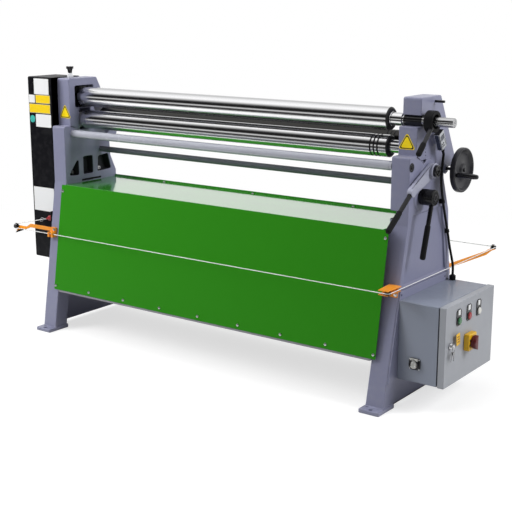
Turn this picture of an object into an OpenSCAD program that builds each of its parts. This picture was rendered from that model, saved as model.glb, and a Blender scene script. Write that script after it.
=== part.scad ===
// Plate rolling machine: two cast end frames carry a top, a bottom and a rear roll.
// X runs along the rolls, +Y points to the back and Z up from the floor.
// The origin is the middle of the four foot bolt holes, on the floor.

/* [Machine] */
// Clear distance between the two end frames
span = 1695; // [1300:5:2100]
// Thickness of an end frame along the rolls
frame_t = 78; // [74:1:96]
// Height of the top roll's axis above the floor
roll_h = 1085; // [1040:5:1160]
// How far the top roll's axis stands in front of the bolt centre
roll_fwd = 50; // [40:1:60]
// Distance from the front to the rear foot bolts
bolt_span = 644; // [600:2:700]

/* [Rolls] */
// Diameter of the top roll
top_roll_d = 90; // [80:1:94]
// Diameter of the bottom roll
bottom_roll_d = 86; // [76:1:90]
// Diameter of the rear bending roll
rear_roll_d = 86; // [76:1:90]
// Distance between the axes of the top and bottom rolls
pinch_dist = 105; // [105:1:112]
// Distance of the rear roll's axis behind the top roll's axis
rear_back = 125; // [118:1:132]
// Distance of the rear roll's axis below the top roll's axis
rear_drop = 100; // [92:1:108]
// Angle of the rear roll's slide from the vertical
slide_tilt = 30; // [26:1:34]
// Diameter of the polished necks beside the right frame
neck_d = 50; // [44:1:56]
// Length of the polished necks
neck_len = 49; // [40:1:60]
// Diameter of the top roll's shaft through the jaw
shaft_d = 36; // [30:1:40]
// Length of the top roll's shaft beyond the right frame
shaft_out = 128; // [110:1:150]
// Diameter of the journals in the bearing blocks
journal_d = 40; // [34:1:44]
// Width of a wire groove
groove_w = 7; // [5:0.5:9]
// Distance between wire grooves
groove_pitch = 16; // [13:1:20]
// Number of wire grooves in the bottom and rear rolls
groove_count = 3; // [1:1:4]
// Distance from the last wire groove to the roll's right end
groove_end = 41; // [30:1:60]
// Depth of a wire groove
groove_deep = 4; // [2:0.5:6]

/* [Frames] */
// Thickness of a foot plate
foot_t = 16; // [12:1:24]
// Width of a foot plate along the rolls
foot_w = 90; // [80:1:110]
// Length of a foot plate from front to back
foot_len = 122; // [110:1:140]
// Diameter of a foot bolt hole
foot_hole_d = 18; // [14:1:22]
// Distance from a foot bolt hole to the end of its plate
hole_edge = 18; // [16:1:26]
// Width of a leg column from front to back
leg_w = 72; // [60:1:80]
// Distance from a foot bolt hole to the leg
leg_toe = 24; // [20:1:36]
// Height of the frames' tops above the top roll's axis
crown = 87; // [84:1:100]
// Lower block of the left frame in front of the roll's axis
left_lower_front = 138; // [132:1:142]
// Upper block of the left frame in front of the roll's axis
left_upper_front = 97; // [92:1:102]
// Ledge of the left frame below the roll's axis
left_ledge = 130; // [122:1:136]
// Lower block of the right frame in front of the roll's axis
right_lower_front = 96; // [92:1:102]
// Height of the right frame's step below the roll's axis
right_step = 128; // [122:1:134]
// Middle block of the right frame in front of the roll's axis
right_middle_front = 47; // [44:1:52]
// Upper block of the right frame in front of the roll's axis
right_upper_front = 20; // [16:1:24]
// Back of the left frame's crown behind the roll's axis
left_crown_back = 83; // [78:1:88]
// Back of the right frame's crown behind the roll's axis
right_crown_back = 138; // [132:1:144]
// Height below the axis at which the front edges turn into the legs
leg_bend = 388; // [370:1:400]
// Radius of the rounded corners of the frame outlines
frame_round = 9; // [4:1:12]
// Thickness of the web between a frame's legs
web_t = 16; // [12:1:20]
// Depth of the shallow panel in the right frame's outer side
panel_deep = 9; // [5:1:11]
// Depth of the pockets that hold the bearing blocks
pocket_deep = 60; // [56:1:64]
// Radius of the corners of the cut-outs in the left frame
cut_round = 8; // [4:1:10]
// Gap between a moving bearing block and its pocket's side
block_gap = 0.3; // [0.2:0.1:0.6]
// Radial running clearance of shafts in their bores
run_gap = 0.1; // [0.05:0.01:0.1]
// Free space at the ends of a moving block's travel
end_gap = 6; // [5:0.5:8]

/* [Ties and panels] */
// Diameter of the front tie bar
front_tie_d = 36; // [32:1:44]
// Diameter of the rear tie bar
rear_tie_d = 27; // [22:1:32]
// Front tie bar in front of the roll's axis
front_tie_fwd = 82; // [78:1:86]
// Front tie bar below the roll's axis
front_tie_drop = 166; // [160:1:172]
// Rear tie bar behind the roll's axis
rear_tie_back = 98; // [90:1:104]
// Rear tie bar below the roll's axis
rear_tie_drop = 256; // [248:1:262]
// Thickness of the green sheet panels
sheet_t = 2; // [1.5:0.5:3]
// Height of the top panel above the floor
panel_top = 686; // [660:2:690]
// Height of the front panel's lower edge
panel_low = 196; // [160:2:220]
// Front edge of the top panel in front of the bolt centre
panel_fwd = 194; // [192:1:202]
// Lower edge of the front panel in front of the bolt centre
panel_low_fwd = 271; // [270:1:280]
// Rear edge of the top panel behind the bolt centre
panel_back = 140; // [134:1:144]
// Lower edge of the rear panel behind the bolt centre
panel_low_back = 238; // [230:1:244]
// Height of the lip along the top panel's rear edge
lip_h = 9; // [6:1:14]
// How far the front panel laps over the front of each leg
panel_lap = 24; // [10:1:40]
// Gap between a panel's ends and the frames
panel_gap = 0.5; // [0.3:0.1:0.9]
// Height of the grey rails under the panels
rail_h = 10; // [8:1:16]
// Depth of the grey rails from front to back
rail_w = 24; // [18:1:30]

/* [Drive cover] */
// Width of the drive cover along the rolls
cover_w = 156; // [130:1:180]
// Front face of the cover in front of the bolt centre
cover_front = 185; // [175:1:195]
// Rear face of the cover behind the bolt centre
cover_rear = 50; // [40:1:90]
// Height of the cover's top above the frames' tops
cover_rise = 4; // [2:1:12]
// Height of the cover's lower edge above the floor
cover_low = 313; // [280:1:340]

/* [Electrical cabinet] */
// Width of the cabinet from front to back
cab_w = 414; // [400:1:430]
// Height of the cabinet
cab_h = 310; // [290:1:330]
// Depth of the cabinet's body along the rolls
cab_d = 165; // [150:1:190]
// Thickness of the cabinet's sheet walls
cab_wall = 2; // [1.5:0.5:3]
// Height of the cabinet's underside above the floor
cab_low = 115; // [90:1:140]
// Front side of the cabinet in front of the bolt centre
cab_front = 204; // [198:1:210]
// Depth of the door along the rolls
door_t = 26; // [20:1:30]
// Gap between the body and the door
door_gap = 5; // [5:0.5:8]
// Thickness of the mounting plate behind the cabinet
mount_t = 5.5; // [4:0.5:8]
// Distance between the push buttons
button_pitch = 86; // [76:1:96]
// Diameter of a push button
button_d = 28; // [24:1:32]

/* [Handwheel and levers] */
// Diameter of the handwheel
wheel_d = 175; // [150:1:180]
// Thickness of the handwheel's rim
wheel_t = 22; // [16:1:26]
// Distance of the handwheel from the right frame
wheel_out = 59; // [55:1:66]
// Diameter of the handwheel's shaft
wheel_shaft_d = 12; // [10:1:16]
// Length of the handwheel's grip
grip_len = 92; // [80:1:100]
// Diameter of the handwheel's grip
grip_d = 21; // [18:1:24]
// Diameter of the release ring on the top roll's shaft
ring_d = 82; // [72:1:86]
// Width of the release ring
ring_w = 34; // [28:1:38]
// Diameter of the lever rods
rod_d = 17; // [14:1:19]
// Diameter of the grips on the long levers
lever_grip_d = 22; // [20:1:24]

// Distance of the handwheel's axis behind the top roll's axis
wheel_back = 198; // [150:250]
// Depth of the handwheel's axis under the top roll's axis
wheel_drop = 203; // [150:260]
// Distance of the pinch lever's axis behind the top roll's axis
pinch_back = 44; // [20:80]
// Depth of the pinch lever's axis under the top roll's axis
pinch_drop = 191; // [160:230]
// Distance of the feed lever's axis in front of the top roll's axis
feed_fwd = 6; // [0:40]
// Depth of the feed lever's axis under the top roll's axis
feed_drop = 285; // [260:330]
// Distance of the readout behind the top roll's axis
readout_back = 85; // [60:110]
// Depth of the readout under the top roll's axis
readout_drop = 77; // [50:110]

/* [Safety rope] */
// Diameter of the sheathed trip rope
rope_d = 5; // [4:0.5:6]
// Height of the trip rope above the floor
rope_h = 450; // [440:1:456]
// How much higher the rope's right corner lies than its left end
corner_rise = 20; // [10:1:26]
// How much farther forward the rope's right corner lies than its left end
corner_fwd = 56; // [20:1:60]
// How far the rear arms reach behind the bolt centre
arm_back = 617; // [560:1:660]
// How far the left front arm reaches outside the left frame
arm_out = 232; // [180:1:240]

/* [Hidden] */
$fn = 48;

eps = 0.01;
inner = span / 2;
outer = inner + frame_t;
bolt_x = inner + frame_t / 2;
bolt_y = bolt_span / 2;
axis_y = -roll_fwd;
axis_z = roll_h;
crown_z = axis_z + crown;
bend_z = axis_z - leg_bend;
leg_y = bolt_y - leg_toe;
leg_low = foot_t - frame_round;
foot_y = bolt_y + hole_edge;
left_low_y = axis_y - left_lower_front;
left_up_y = axis_y - left_upper_front;
right_low_y = axis_y - right_lower_front;
right_mid_y = axis_y - right_middle_front;
right_up_y = axis_y - right_upper_front;

// Rolls
end_play = 5;
roll_left = -(inner - end_play);
roll_right = inner - end_play - neck_len;
top_roll_left = -(inner + 8);
low_z = axis_z - pinch_dist;
rear_y = axis_y + rear_back;
rear_z = axis_z - rear_drop;
roll_chamfer = 4;

// Bearing blocks: width and height across the roll, travel, and thickness along it
low_block = [70, 67];
low_travel = [-6, 12];
rear_block = [68, 72];
rear_travel = [-40, 30];
block_t = pocket_deep - 2;
journal_end = pocket_deep - 6;
top_window = [120, 100, 66];
top_window_rise = 2;
top_block = [100, 92, 30];
trunnion_d = 22;
trunnion_grip = 5;
jaw_r = 20.6;
bush_d = 2 * (jaw_r - run_gap);
bush_end = 1;

// Rear nose of the frames, measured from the top roll's axis
nose_under = 199;
nose_tip_z = 169;
left_nose = [216, 207, 157];
right_nose = [281, 267, 183];
pocket_top = panel_top - 40;
web_lift = 14;
relief_deep = 40;

// Levers on the right frame
pinch_y = axis_y + pinch_back;
pinch_z = axis_z - pinch_drop;
feed_y = axis_y - feed_fwd;
feed_z = axis_z - feed_drop;
pad_t = 5;
pad_x = outer + pad_t;
pad_r = [45, 55];
arm_gap = 3;
arm_x = pad_x + arm_gap;
arm_t = 16;
arm_len = 169;
arm_angle = 202;
handle_angle = 215;
handle_len = 211;
pinch_grip_len = 108;
pinch_shaft_d = 24;
pinch_hub_d = 58;
pinch_boss = [55, 24];
pinch_cap_d = 46;
pinch_cap_t = 16;
feed_hub_d = 62;
feed_hub_len = 57;
feed_shaft_d = 30;
feed_angle = 254;
feed_len = 237;
feed_grip_len = 133;
feed_rod_x = arm_x + 44;
shaft_seat = 40;
socket_deep = 12;
arm_boss_d = 34;
arm_boss_t = 22;

// Handwheel
wheel_y = axis_y + wheel_back;
wheel_z = axis_z - wheel_drop;
wheel_x = outer + wheel_out;
wheel_boss_d = 40;
wheel_hub_d = 44;
wheel_rim = 12;
grip_pos = [-70, -10];
grip_pin_d = 8;
grip_pin_len = 20;

// Release ring
ring_x = outer + 18.5;
ring_hub = [50, 8];
ring_dish = [54, 20];
lever_x = ring_x + 26;
lever_angle = 223;
lever_len = 166;
lever_tip_len = 44;

// Star knob and pin on the left frame's crown
star_y = axis_y - 49;
star_d = 34;
star_h = 11;
star_nut = [26, 12];
star_neck = [16, 30];
star_screw_d = 12;
pin_d = 8;
pin_len = 40;

// Cabinet
mount_x = outer + mount_t;
cab_x = mount_x + cab_d;
door_x = cab_x + door_gap;
door_out = door_x + door_t;
cab_top = cab_low + cab_h;
cab_y = cab_w / 2 - cab_front;
door_lap = 2;
cab_flange = 14;
hinge_d = 9;
hinge_pin_d = 4;
hinge_len = 16;
hinge_off = 10;
hinge_x = cab_x + door_gap / 2;
hinge_y = cab_y + cab_w / 2 + hinge_off;
hinge_z = [cab_low + 45, cab_top - 75];
button_y = -cab_front + 104;
button_z = cab_low + 240;
button_len = 18;
button_frame = [40, 64, 3];
bezel_t = 2;
switch_y = -cab_front + 190;
switch_z = cab_low + 141;
switch_plate = [66, 23];
switch_knob = [44, 24];
switch_shaft_d = 10;
lock_y = -cab_front + 38;
lock_z = cab_low + 158;
lock_d = 20;
inlet = [48, 46, 14];
inlet_in = 74;
inlet_up = 75;

// Readout on the slope of the right frame
read_y = axis_y + readout_back;
read_z = axis_z - readout_drop;
read_tilt = 29;
read_size = [42, 74, 22];
read_out = 18.5;
stem_len = 14;
stem_d = 14;

// Cable from the readout to the gland on the cabinet
cable_d = 10;
cable_gap = 0.4;
stem_dir = [0, sin(read_tilt), -cos(read_tilt)];
read_low = [outer + read_out + 11, read_y, read_z] + (read_size[1] / 2 + stem_len) * stem_dir;
gland_x = mount_x + 22;
gland_y = cab_y + cab_w / 2 - 14;
gland_d = 24;
gland_h = 22;
gland_floor = 5;
cable_route = [
    read_low - 8 * stem_dir, read_low + 14 * stem_dir,
    [outer + 27, axis_y + 116, axis_z - 170], [outer + 26, axis_y + 112, axis_z - 220],
    [outer + 23, axis_y + 123, axis_z - 263], [outer + 16, axis_y + 152, axis_z - 315],
    [outer + 14, axis_y + 163.5, axis_z - 339], [outer + 10, gland_y - 36, cab_top + 223],
    [outer + 9, gland_y - 19, cab_top + 185], [outer + 12, gland_y - 6, cab_top + 135],
    [gland_x - 4, gland_y, cab_top + 75], [gland_x, gland_y, cab_top + 45],
    [gland_x, gland_y, cab_top + gland_floor]
];
clip_at = [5, 7];

// Safety rope: path radius around the pulleys, rope run along the right side
pulley_d = 26;
pulley_t = 10;
pulley_pin_d = 8;
wrap_r = (pulley_d - rope_d) / 2;
seat_gap = 0.2;
rope_sides = 12;
front_run_y = -240;
side_x = outer + 10;
corner = [side_x - wrap_r, front_run_y - corner_fwd + wrap_r, rope_h + corner_rise];
rear_tip = [outer + 13, arm_back, rope_h + 30];
left_tip_x = -(outer + arm_out);
arm_w = 18;
arm_plate = 4;
// The left pulley leans back so that the rope rises to the switch
lean = 29;
lean_v = [0, sin(lean), cos(lean)];
lean_n = [0, cos(lean), -sin(lean)];
left_tip = [left_tip_x, front_run_y, rope_h] + wrap_r * lean_v;
switch_rise = 72;
switch_end = [-(outer + 40), front_run_y, rope_h] + switch_rise * lean_v;
run_u = switch_end[0] - left_tip[0];
run_v = switch_rise - wrap_r;
run_turn = atan2(run_v, run_u) + acos(wrap_r / norm([run_u, run_v]));
run_tilt = run_turn - 90;
// Where the front run passes through the left bracket
eye_x = -(outer - 20);
front_start = [left_tip_x, front_run_y, rope_h];
front_end = [corner[0], corner[1] - wrap_r, corner[2]];
rope_eye = front_start + (eye_x - left_tip_x) / (corner[0] - left_tip_x) * (front_end - front_start);

function mix(a, b, t) = a + (b - a) * t;
// Front edge of a leg at height z, for a frame whose lower block starts at y_top
function leg_front(y_top, z) = mix(-leg_y, y_top, (z - leg_low) / (bend_z - leg_low));

// Extrudes a (Y, Z) outline along X from x0
module along_x(x0, len) {
    translate([x0, 0, 0]) rotate([90, 0, 90]) linear_extrude(len) children();
}

// Round bar along X
module bar_x(x0, len, d, y, z, d2 = 0) {
    translate([x0, y, z]) rotate([0, 90, 0]) cylinder(h = len, d1 = d, d2 = d2 > 0 ? d2 : d);
}

// Round bar between two points
module bar(p, q, d, d2 = 0) {
    v = q - p;
    len = norm(v);
    tilt = acos(v[2] / len);
    turn = atan2(v[1], v[0]);
    translate(p) rotate([0, tilt, turn]) cylinder(h = len, d1 = d, d2 = d2 > 0 ? d2 : d);
}

module rounded(r) {
    offset(r, $fn = 24) offset(-r) children();
}

module rounded_rect(w, h, r) {
    offset(r, $fn = 20) square([w - 2 * r, h - 2 * r], center = true);
}

// Outlines of the end frames in (Y, Z)
module left_outline() {
    rounded(frame_round) polygon([
        [-leg_y, leg_low], [left_low_y, bend_z], [left_low_y, axis_z - left_ledge],
        [left_up_y, axis_z - left_ledge], [left_up_y, crown_z], [axis_y + left_crown_back, crown_z],
        [axis_y + left_nose[0], axis_z - nose_tip_z], [axis_y + left_nose[1], axis_z - nose_under],
        [axis_y + left_nose[2], axis_z - nose_under], [axis_y + left_nose[2] + 6, axis_z - 293],
        [panel_back + 8, axis_z - 368], [panel_back + 8, panel_top], [leg_y, leg_low]
    ]);
}

module right_outline() {
    rounded(frame_round) polygon([
        [-leg_y, leg_low], [right_low_y, bend_z], [right_low_y, axis_z - right_step],
        [right_mid_y, axis_z - right_step], [right_mid_y, axis_z], [right_up_y, axis_z],
        [right_up_y, crown_z],
        [axis_y + right_crown_back, crown_z], [axis_y + right_nose[0], axis_z - nose_tip_z],
        [axis_y + right_nose[1], axis_z - nose_under], [axis_y + right_nose[2], axis_z - nose_under],
        [axis_y + right_nose[2] + 5, axis_z - 240], [axis_y + 241, axis_z - 375],
        [axis_y + 252, axis_z - 500], [leg_y, leg_low]
    ]);
}

// Places of cut-outs in the end frames
function from_x(side, x0, len) = side > 0 ? x0 : -(x0 + len);

module slab(side, x0, len) {
    along_x(from_x(side, x0, len), len) children();
}

module pin_x(side, x0, len, d, y, z) {
    bar_x(from_x(side, x0, len), len, d, y, z);
}

module low_window(grow) {
    h = low_block[1] + low_travel[1] - low_travel[0] + 2 * grow;
    translate([axis_y, low_z + (low_travel[1] + low_travel[0]) / 2])
        rounded_rect(low_block[0] + 2 * block_gap, h, cut_round / 2);
}

module rear_window(grow) {
    h = rear_block[1] + rear_travel[1] - rear_travel[0] + 2 * grow;
    translate([rear_y, rear_z]) rotate(slide_tilt)
        translate([0, (rear_travel[1] + rear_travel[0]) / 2])
        rounded_rect(rear_block[0] + 2 * block_gap, h, cut_round / 2);
}

module relief_outlines() {
    rounded(cut_round) polygon([
        [axis_y - 118, axis_z - 362], [axis_y - 51, axis_z - 282], [axis_y - 50, axis_z - 365]
    ]);
    translate([axis_y + 10, axis_z - 323]) rounded_rect(63, 84, cut_round);
    rounded(cut_round) polygon([
        [axis_y + 71, axis_z - 362], [axis_y + 78, axis_z - 289],
        [axis_y + 143, axis_z - 282], [axis_y + 164, axis_z - 358]
    ]);
}

module foot_plates(side) {
    for (e = [-1, 1])
        translate([side * bolt_x, e * (foot_y - foot_len / 2), 0])
            linear_extrude(foot_t) rounded_rect(foot_w, foot_len, 6);
}

module foot_holes(side) {
    for (e = [-1, 1])
        translate([side * bolt_x, e * bolt_y, -1]) cylinder(h = foot_t + 2, d = foot_hole_d);
}

// Open pocket between the legs, the raised web and the shallow panel on the outer side
module leg_pocket(side, front_top, rear_mid, rear_top) {
    slab(side, inner - 1, frame_t - web_t + 1) rounded(cut_round) polygon([
        [-leg_y + leg_w, -cut_round * 2], [front_top + leg_w, pocket_top],
        [rear_top - leg_w, pocket_top], [rear_mid[0] - leg_w, rear_mid[1]],
        [leg_y - leg_w, foot_t], [leg_y - leg_w, -cut_round * 2]
    ]);
    slab(side, inner - 1, frame_t + 2) polygon([
        [-leg_y + leg_w, -1], [-leg_y + leg_w, web_lift], [leg_y - leg_w, web_lift], [leg_y - leg_w, -1]
    ]);
}

module outer_panel(side, front_low, front_up, rear_low, rear_up) {
    slab(side, outer - panel_deep, panel_deep + 1) rounded(cut_round) polygon([
        [front_low + 26, axis_z - 615], [front_up + 26, axis_z - 350],
        [rear_up - 36, axis_z - 350], [rear_low - 36, axis_z - 615]
    ]);
}

module frame_cuts(side) {
    slab(side, inner - 1, pocket_deep + 1) low_window(end_gap);
    slab(side, inner - 1, pocket_deep + 1) rear_window(end_gap);
    slab(side, inner - 1, relief_deep + 1) relief_outlines();
    foot_holes(side);
}

module left_frame() {
    rear_up = mix(leg_y, panel_back + 8, (pocket_top - foot_t) / (panel_top - foot_t));
    color([0.62, 0.62, 0.66]) difference() {
        union() {
            slab(-1, inner, frame_t) left_outline();
            foot_plates(-1);
        }
        leg_pocket(-1, leg_front(left_low_y, pocket_top),
            [mix(leg_y, rear_up, 0.5), (foot_t + pocket_top) / 2], rear_up);
        outer_panel(-1, leg_front(left_low_y, axis_z - 615), leg_front(left_low_y, axis_z - 350),
            rear_face(-1, axis_z - 615), panel_back);
        frame_cuts(-1);
        slab(-1, inner - 1, top_window[2] + 1) translate([axis_y, axis_z + top_window_rise])
            rounded_rect(top_window[0], top_window[1], cut_round);
        translate([-bolt_x, axis_y, low_z]) cylinder(h = axis_z - low_z, d = trunnion_d + 2 * run_gap);
        translate([-bolt_x, axis_y, axis_z]) cylinder(
            h = top_window_rise + top_window[1] / 2 + trunnion_grip + 1, d = trunnion_d + 2 * run_gap);
        translate([-bolt_x, star_y, axis_z]) cylinder(h = crown + 1, d = star_screw_d + 2 * run_gap);
    }
}

module right_frame() {
    rear_up = axis_y + 245;
    color([0.62, 0.62, 0.66]) {
        difference() {
            union() {
                slab(1, inner, frame_t) {
                    right_outline();
                    translate([wheel_y, wheel_z]) circle(d = wheel_boss_d);
                }
                foot_plates(1);
                slab(1, outer - 1, pad_t + 1) hull() {
                    translate([pinch_y, pinch_z]) circle(r = pad_r[0]);
                    translate([feed_y, feed_z]) circle(r = pad_r[1]);
                }
                pin_x(1, outer - 1, pad_t + 1, wheel_boss_d - 4, wheel_y, wheel_z);
            }
            leg_pocket(1, leg_front(right_low_y, pocket_top), [axis_y + 252, axis_z - 500], rear_up);
            outer_panel(1, leg_front(right_low_y, axis_z - 615), leg_front(right_low_y, axis_z - 350),
                axis_y + 270, axis_y + 222);
            frame_cuts(1);
            slab(1, inner - 1, frame_t + 2) hull() {
                translate([axis_y, axis_z]) circle(r = jaw_r, $fn = 96);
                translate([right_mid_y - 5, axis_z - jaw_r]) square([1, 2 * jaw_r]);
            }
            slab(1, outer - 8, 9) translate([axis_y + 33, axis_z - 153]) rounded_rect(65, 8, 3);
            pin_x(1, pad_x - shaft_seat - 1, shaft_seat + 2, pinch_shaft_d + 2 * run_gap, pinch_y, pinch_z);
            pin_x(1, pad_x - shaft_seat - 1, shaft_seat + 2, feed_shaft_d + 2 * run_gap, feed_y, feed_z);
            pin_x(1, pad_x - shaft_seat - 1, shaft_seat + 2, wheel_shaft_d + 2 * run_gap, wheel_y, wheel_z);
        }
        pin_x(1, outer, pin_len, pin_d, axis_y + 86, crown_z - 20);
    }
}

module front_tie_bar() {
    color([0.72, 0.72, 0.75])
        bar_x(-inner, span, front_tie_d, axis_y - front_tie_fwd, axis_z - front_tie_drop);
}

module rear_tie_bar() {
    color([0.35, 0.35, 0.37]) bar_x(-inner, span, rear_tie_d, axis_y + rear_tie_back, axis_z - rear_tie_drop);
}

// Folded sheets between the frames, all cut to the same length
sheet_x = inner - panel_gap;
flange = 30;

module front_panel() {
    top = panel_top - sheet_t;
    lap_x = inner + panel_lap;
    face = [
        [-panel_fwd + sheet_t, top - sheet_t], [-panel_fwd, top], [-panel_low_fwd, panel_low],
        [-panel_low_fwd + sheet_t, panel_low + sheet_t]
    ];
    color([0.18, 0.51, 0.11]) {
        along_x(-lap_x, 2 * lap_x) polygon(face);
        along_x(-sheet_x, 2 * sheet_x) polygon([
            [-panel_fwd, top], [-panel_low_fwd, panel_low], [-panel_low_fwd + flange, panel_low],
            [-panel_low_fwd + flange, panel_low + sheet_t], face[3], face[0],
            [-panel_fwd + flange, top - sheet_t], [-panel_fwd + flange, top]
        ]);
    }
}

module rear_panel() {
    top = panel_top - sheet_t;
    color([0.18, 0.51, 0.11]) along_x(-sheet_x, 2 * sheet_x) polygon([
        [panel_back, top], [panel_low_back, panel_low], [panel_low_back - flange, panel_low],
        [panel_low_back - flange, panel_low + sheet_t], [panel_low_back - sheet_t, panel_low + sheet_t],
        [panel_back - sheet_t, top - sheet_t], [panel_back - flange, top - sheet_t],
        [panel_back - flange, top]
    ]);
}

module top_panel() {
    color([0.18, 0.51, 0.11]) along_x(-sheet_x, 2 * sheet_x) polygon([
        [-panel_fwd, panel_top - sheet_t], [-panel_fwd, panel_top], [panel_back - sheet_t, panel_top],
        [panel_back - sheet_t, panel_top + lip_h], [panel_back, panel_top + lip_h],
        [panel_back, panel_top - sheet_t]
    ]);
}

module panel_rails() {
    color([0.55, 0.55, 0.58]) for (y = [-panel_low_fwd + 3, panel_low_back - rail_w - 3])
        translate([-inner, y, panel_low - rail_h]) cube([span, rail_w, rail_h]);
}

module drive_cover() {
    h = crown_z + cover_rise - cover_low;
    w = cover_front + cover_rear - roll_fwd;
    y0 = -cover_front;
    color([0.12, 0.12, 0.13]) {
        difference() {
            slab(-1, outer, cover_w) translate([y0 + w / 2, cover_low + h / 2]) rounded_rect(w, h, 7);
            slab(-1, outer - 1, cover_w - 2) translate([y0 + w / 2, cover_low + h / 2])
                rounded_rect(w - 6, h - 6, 4);
        }
        translate([-(outer + cover_w * 0.42), y0 + w * 0.55, cover_low - 16]) cylinder(h = 18, d = 42);
    }
}

// Roll body with chamfered ends, necks and journals
module roll_body(x0, x1, d) {
    bar_x(x0, roll_chamfer, d - 2 * roll_chamfer, 0, 0, d);
    bar_x(x0 + roll_chamfer, x1 - x0 - 2 * roll_chamfer, d, 0, 0);
    bar_x(x1 - roll_chamfer, roll_chamfer, d, 0, 0, d - 2 * roll_chamfer);
}

module wire_grooves(d) {
    for (i = [0 : groove_count - 1])
        translate([roll_right - groove_end - i * groove_pitch, 0, 0]) rotate([0, 90, 0])
            rotate_extrude() translate([d / 2 + groove_w / 2 - groove_deep, 0]) circle(d = groove_w);
}

module low_roll(d) {
    left = -(inner + journal_end);
    difference() {
        union() {
            roll_body(roll_left, roll_right, d);
            bar_x(roll_right - eps, inner - roll_right - end_play + eps, neck_d, 0, 0);
            bar_x(left, journal_end + roll_left + inner, journal_d, 0, 0);
            bar_x(inner - end_play - eps, end_play + journal_end + eps, journal_d, 0, 0);
        }
        wire_grooves(d);
    }
}

module top_roll() {
    left = -(bolt_x + top_block[2] / 2);
    color([0.75, 0.76, 0.78]) translate([0, axis_y, axis_z]) {
        roll_body(top_roll_left, roll_right, top_roll_d);
        bar_x(left, top_roll_left - left + 1, journal_d, 0, 0);
        bar_x(roll_right - 1, neck_len + 1, neck_d, 0, 0);
        bar_x(roll_right, inner + shaft_out + frame_t - roll_right, shaft_d, 0, 0);
    }
}

module bottom_roll() {
    color([0.70, 0.71, 0.73]) translate([0, axis_y, low_z]) low_roll(bottom_roll_d);
}

module rear_roll() {
    color([0.70, 0.71, 0.73]) translate([0, rear_y, rear_z]) low_roll(rear_roll_d);
}

module top_bearing_block() {
    color([0.08, 0.08, 0.09]) translate([-bolt_x, axis_y, axis_z]) difference() {
        union() {
            along_x(-top_block[2] / 2, top_block[2]) rounded_rect(top_block[0], top_block[1], 4);
            translate([0, 0, -top_window[1] / 2 + top_window_rise - trunnion_grip])
                cylinder(h = top_window[1] + 2 * trunnion_grip, d = trunnion_d);
        }
        bar_x(-top_block[2], 2 * top_block[2], journal_d + 2 * run_gap, 0, 0);
    }
}

module jaw_bush() {
    color([0.72, 0.60, 0.30]) difference() {
        bar_x(inner + bush_end, frame_t - 2 * bush_end, bush_d, axis_y, axis_z);
        bar_x(inner, frame_t, shaft_d + 2 * run_gap, axis_y, axis_z);
    }
}

module bearing_block(side, size) {
    difference() {
        slab(side, inner + 1, block_t) rounded_rect(size[0], size[1], cut_round / 2 - block_gap);
        slab(side, inner, block_t + 2) circle(d = journal_d + 2 * run_gap);
    }
}

module bottom_bearing_blocks() {
    color([0.45, 0.46, 0.48]) for (side = [-1, 1])
        translate([0, axis_y, low_z]) bearing_block(side, low_block);
}

module rear_bearing_blocks() {
    color([0.45, 0.46, 0.48]) for (side = [-1, 1])
        translate([0, rear_y, rear_z]) rotate([slide_tilt, 0, 0]) bearing_block(side, rear_block);
}

module release_ring() {
    color([0.32, 0.32, 0.34]) translate([0, axis_y, axis_z]) difference() {
        union() {
            bar_x(ring_x, ring_w, ring_d, 0, 0);
            bar_x(ring_x - ring_hub[1], ring_hub[1] + 1, ring_hub[0], 0, 0);
        }
        bar_x(ring_x - ring_hub[1] - 1, ring_w + ring_hub[1] + 2, shaft_d + 2 * run_gap, 0, 0);
        bar_x(ring_x + ring_w - ring_dish[1], ring_dish[1] + 1, ring_dish[0], 0, 0);
        translate([lever_x, 0, 0]) rotate([lever_angle - 90, 0, 0])
            translate([0, 0, ring_d / 2 - socket_deep + 3])
            cylinder(h = ring_d, d = rod_d + 2 * run_gap);
    }
}

// Rod with a thicker grip at its far end, from the point p in the (Y, Z) direction of angle
module lever(p, angle, from, len, grip_len, d, grip) {
    translate(p) rotate([angle - 90, 0, 0]) {
        translate([0, 0, from]) cylinder(h = len - from - grip_len + 1, d = d);
        translate([0, 0, len - grip_len]) cylinder(h = grip_len - 2, d = grip);
        translate([0, 0, len - 2]) cylinder(h = 2, d1 = grip, d2 = grip - 4);
    }
}

module release_lever() {
    color([0.10, 0.10, 0.11])
        lever([lever_x, axis_y, axis_z], lever_angle, ring_d / 2 - socket_deep + 3, lever_len, lever_tip_len,
            rod_d, lever_grip_d);
}

module star_knob() {
    color([0.10, 0.10, 0.11]) translate([-bolt_x, star_y, crown_z]) {
        cylinder(h = star_nut[1], d = star_nut[0], $fn = 6);
        cylinder(h = star_nut[1] + star_neck[1] + 1, d = star_neck[0]);
        translate([0, 0, star_nut[1] + star_neck[1]]) linear_extrude(star_h) rounded(2) difference() {
            circle(d = star_d);
            for (a = [0 : 60 : 300]) rotate(a + 30) translate([star_d / 2 + 4, 0]) circle(r = 8);
        }
        translate([0, 0, 1 - crown + top_window_rise + top_window[1] / 2]) cylinder(
            h = crown - top_window_rise - top_window[1] / 2, d = star_screw_d);
    }
}

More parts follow.
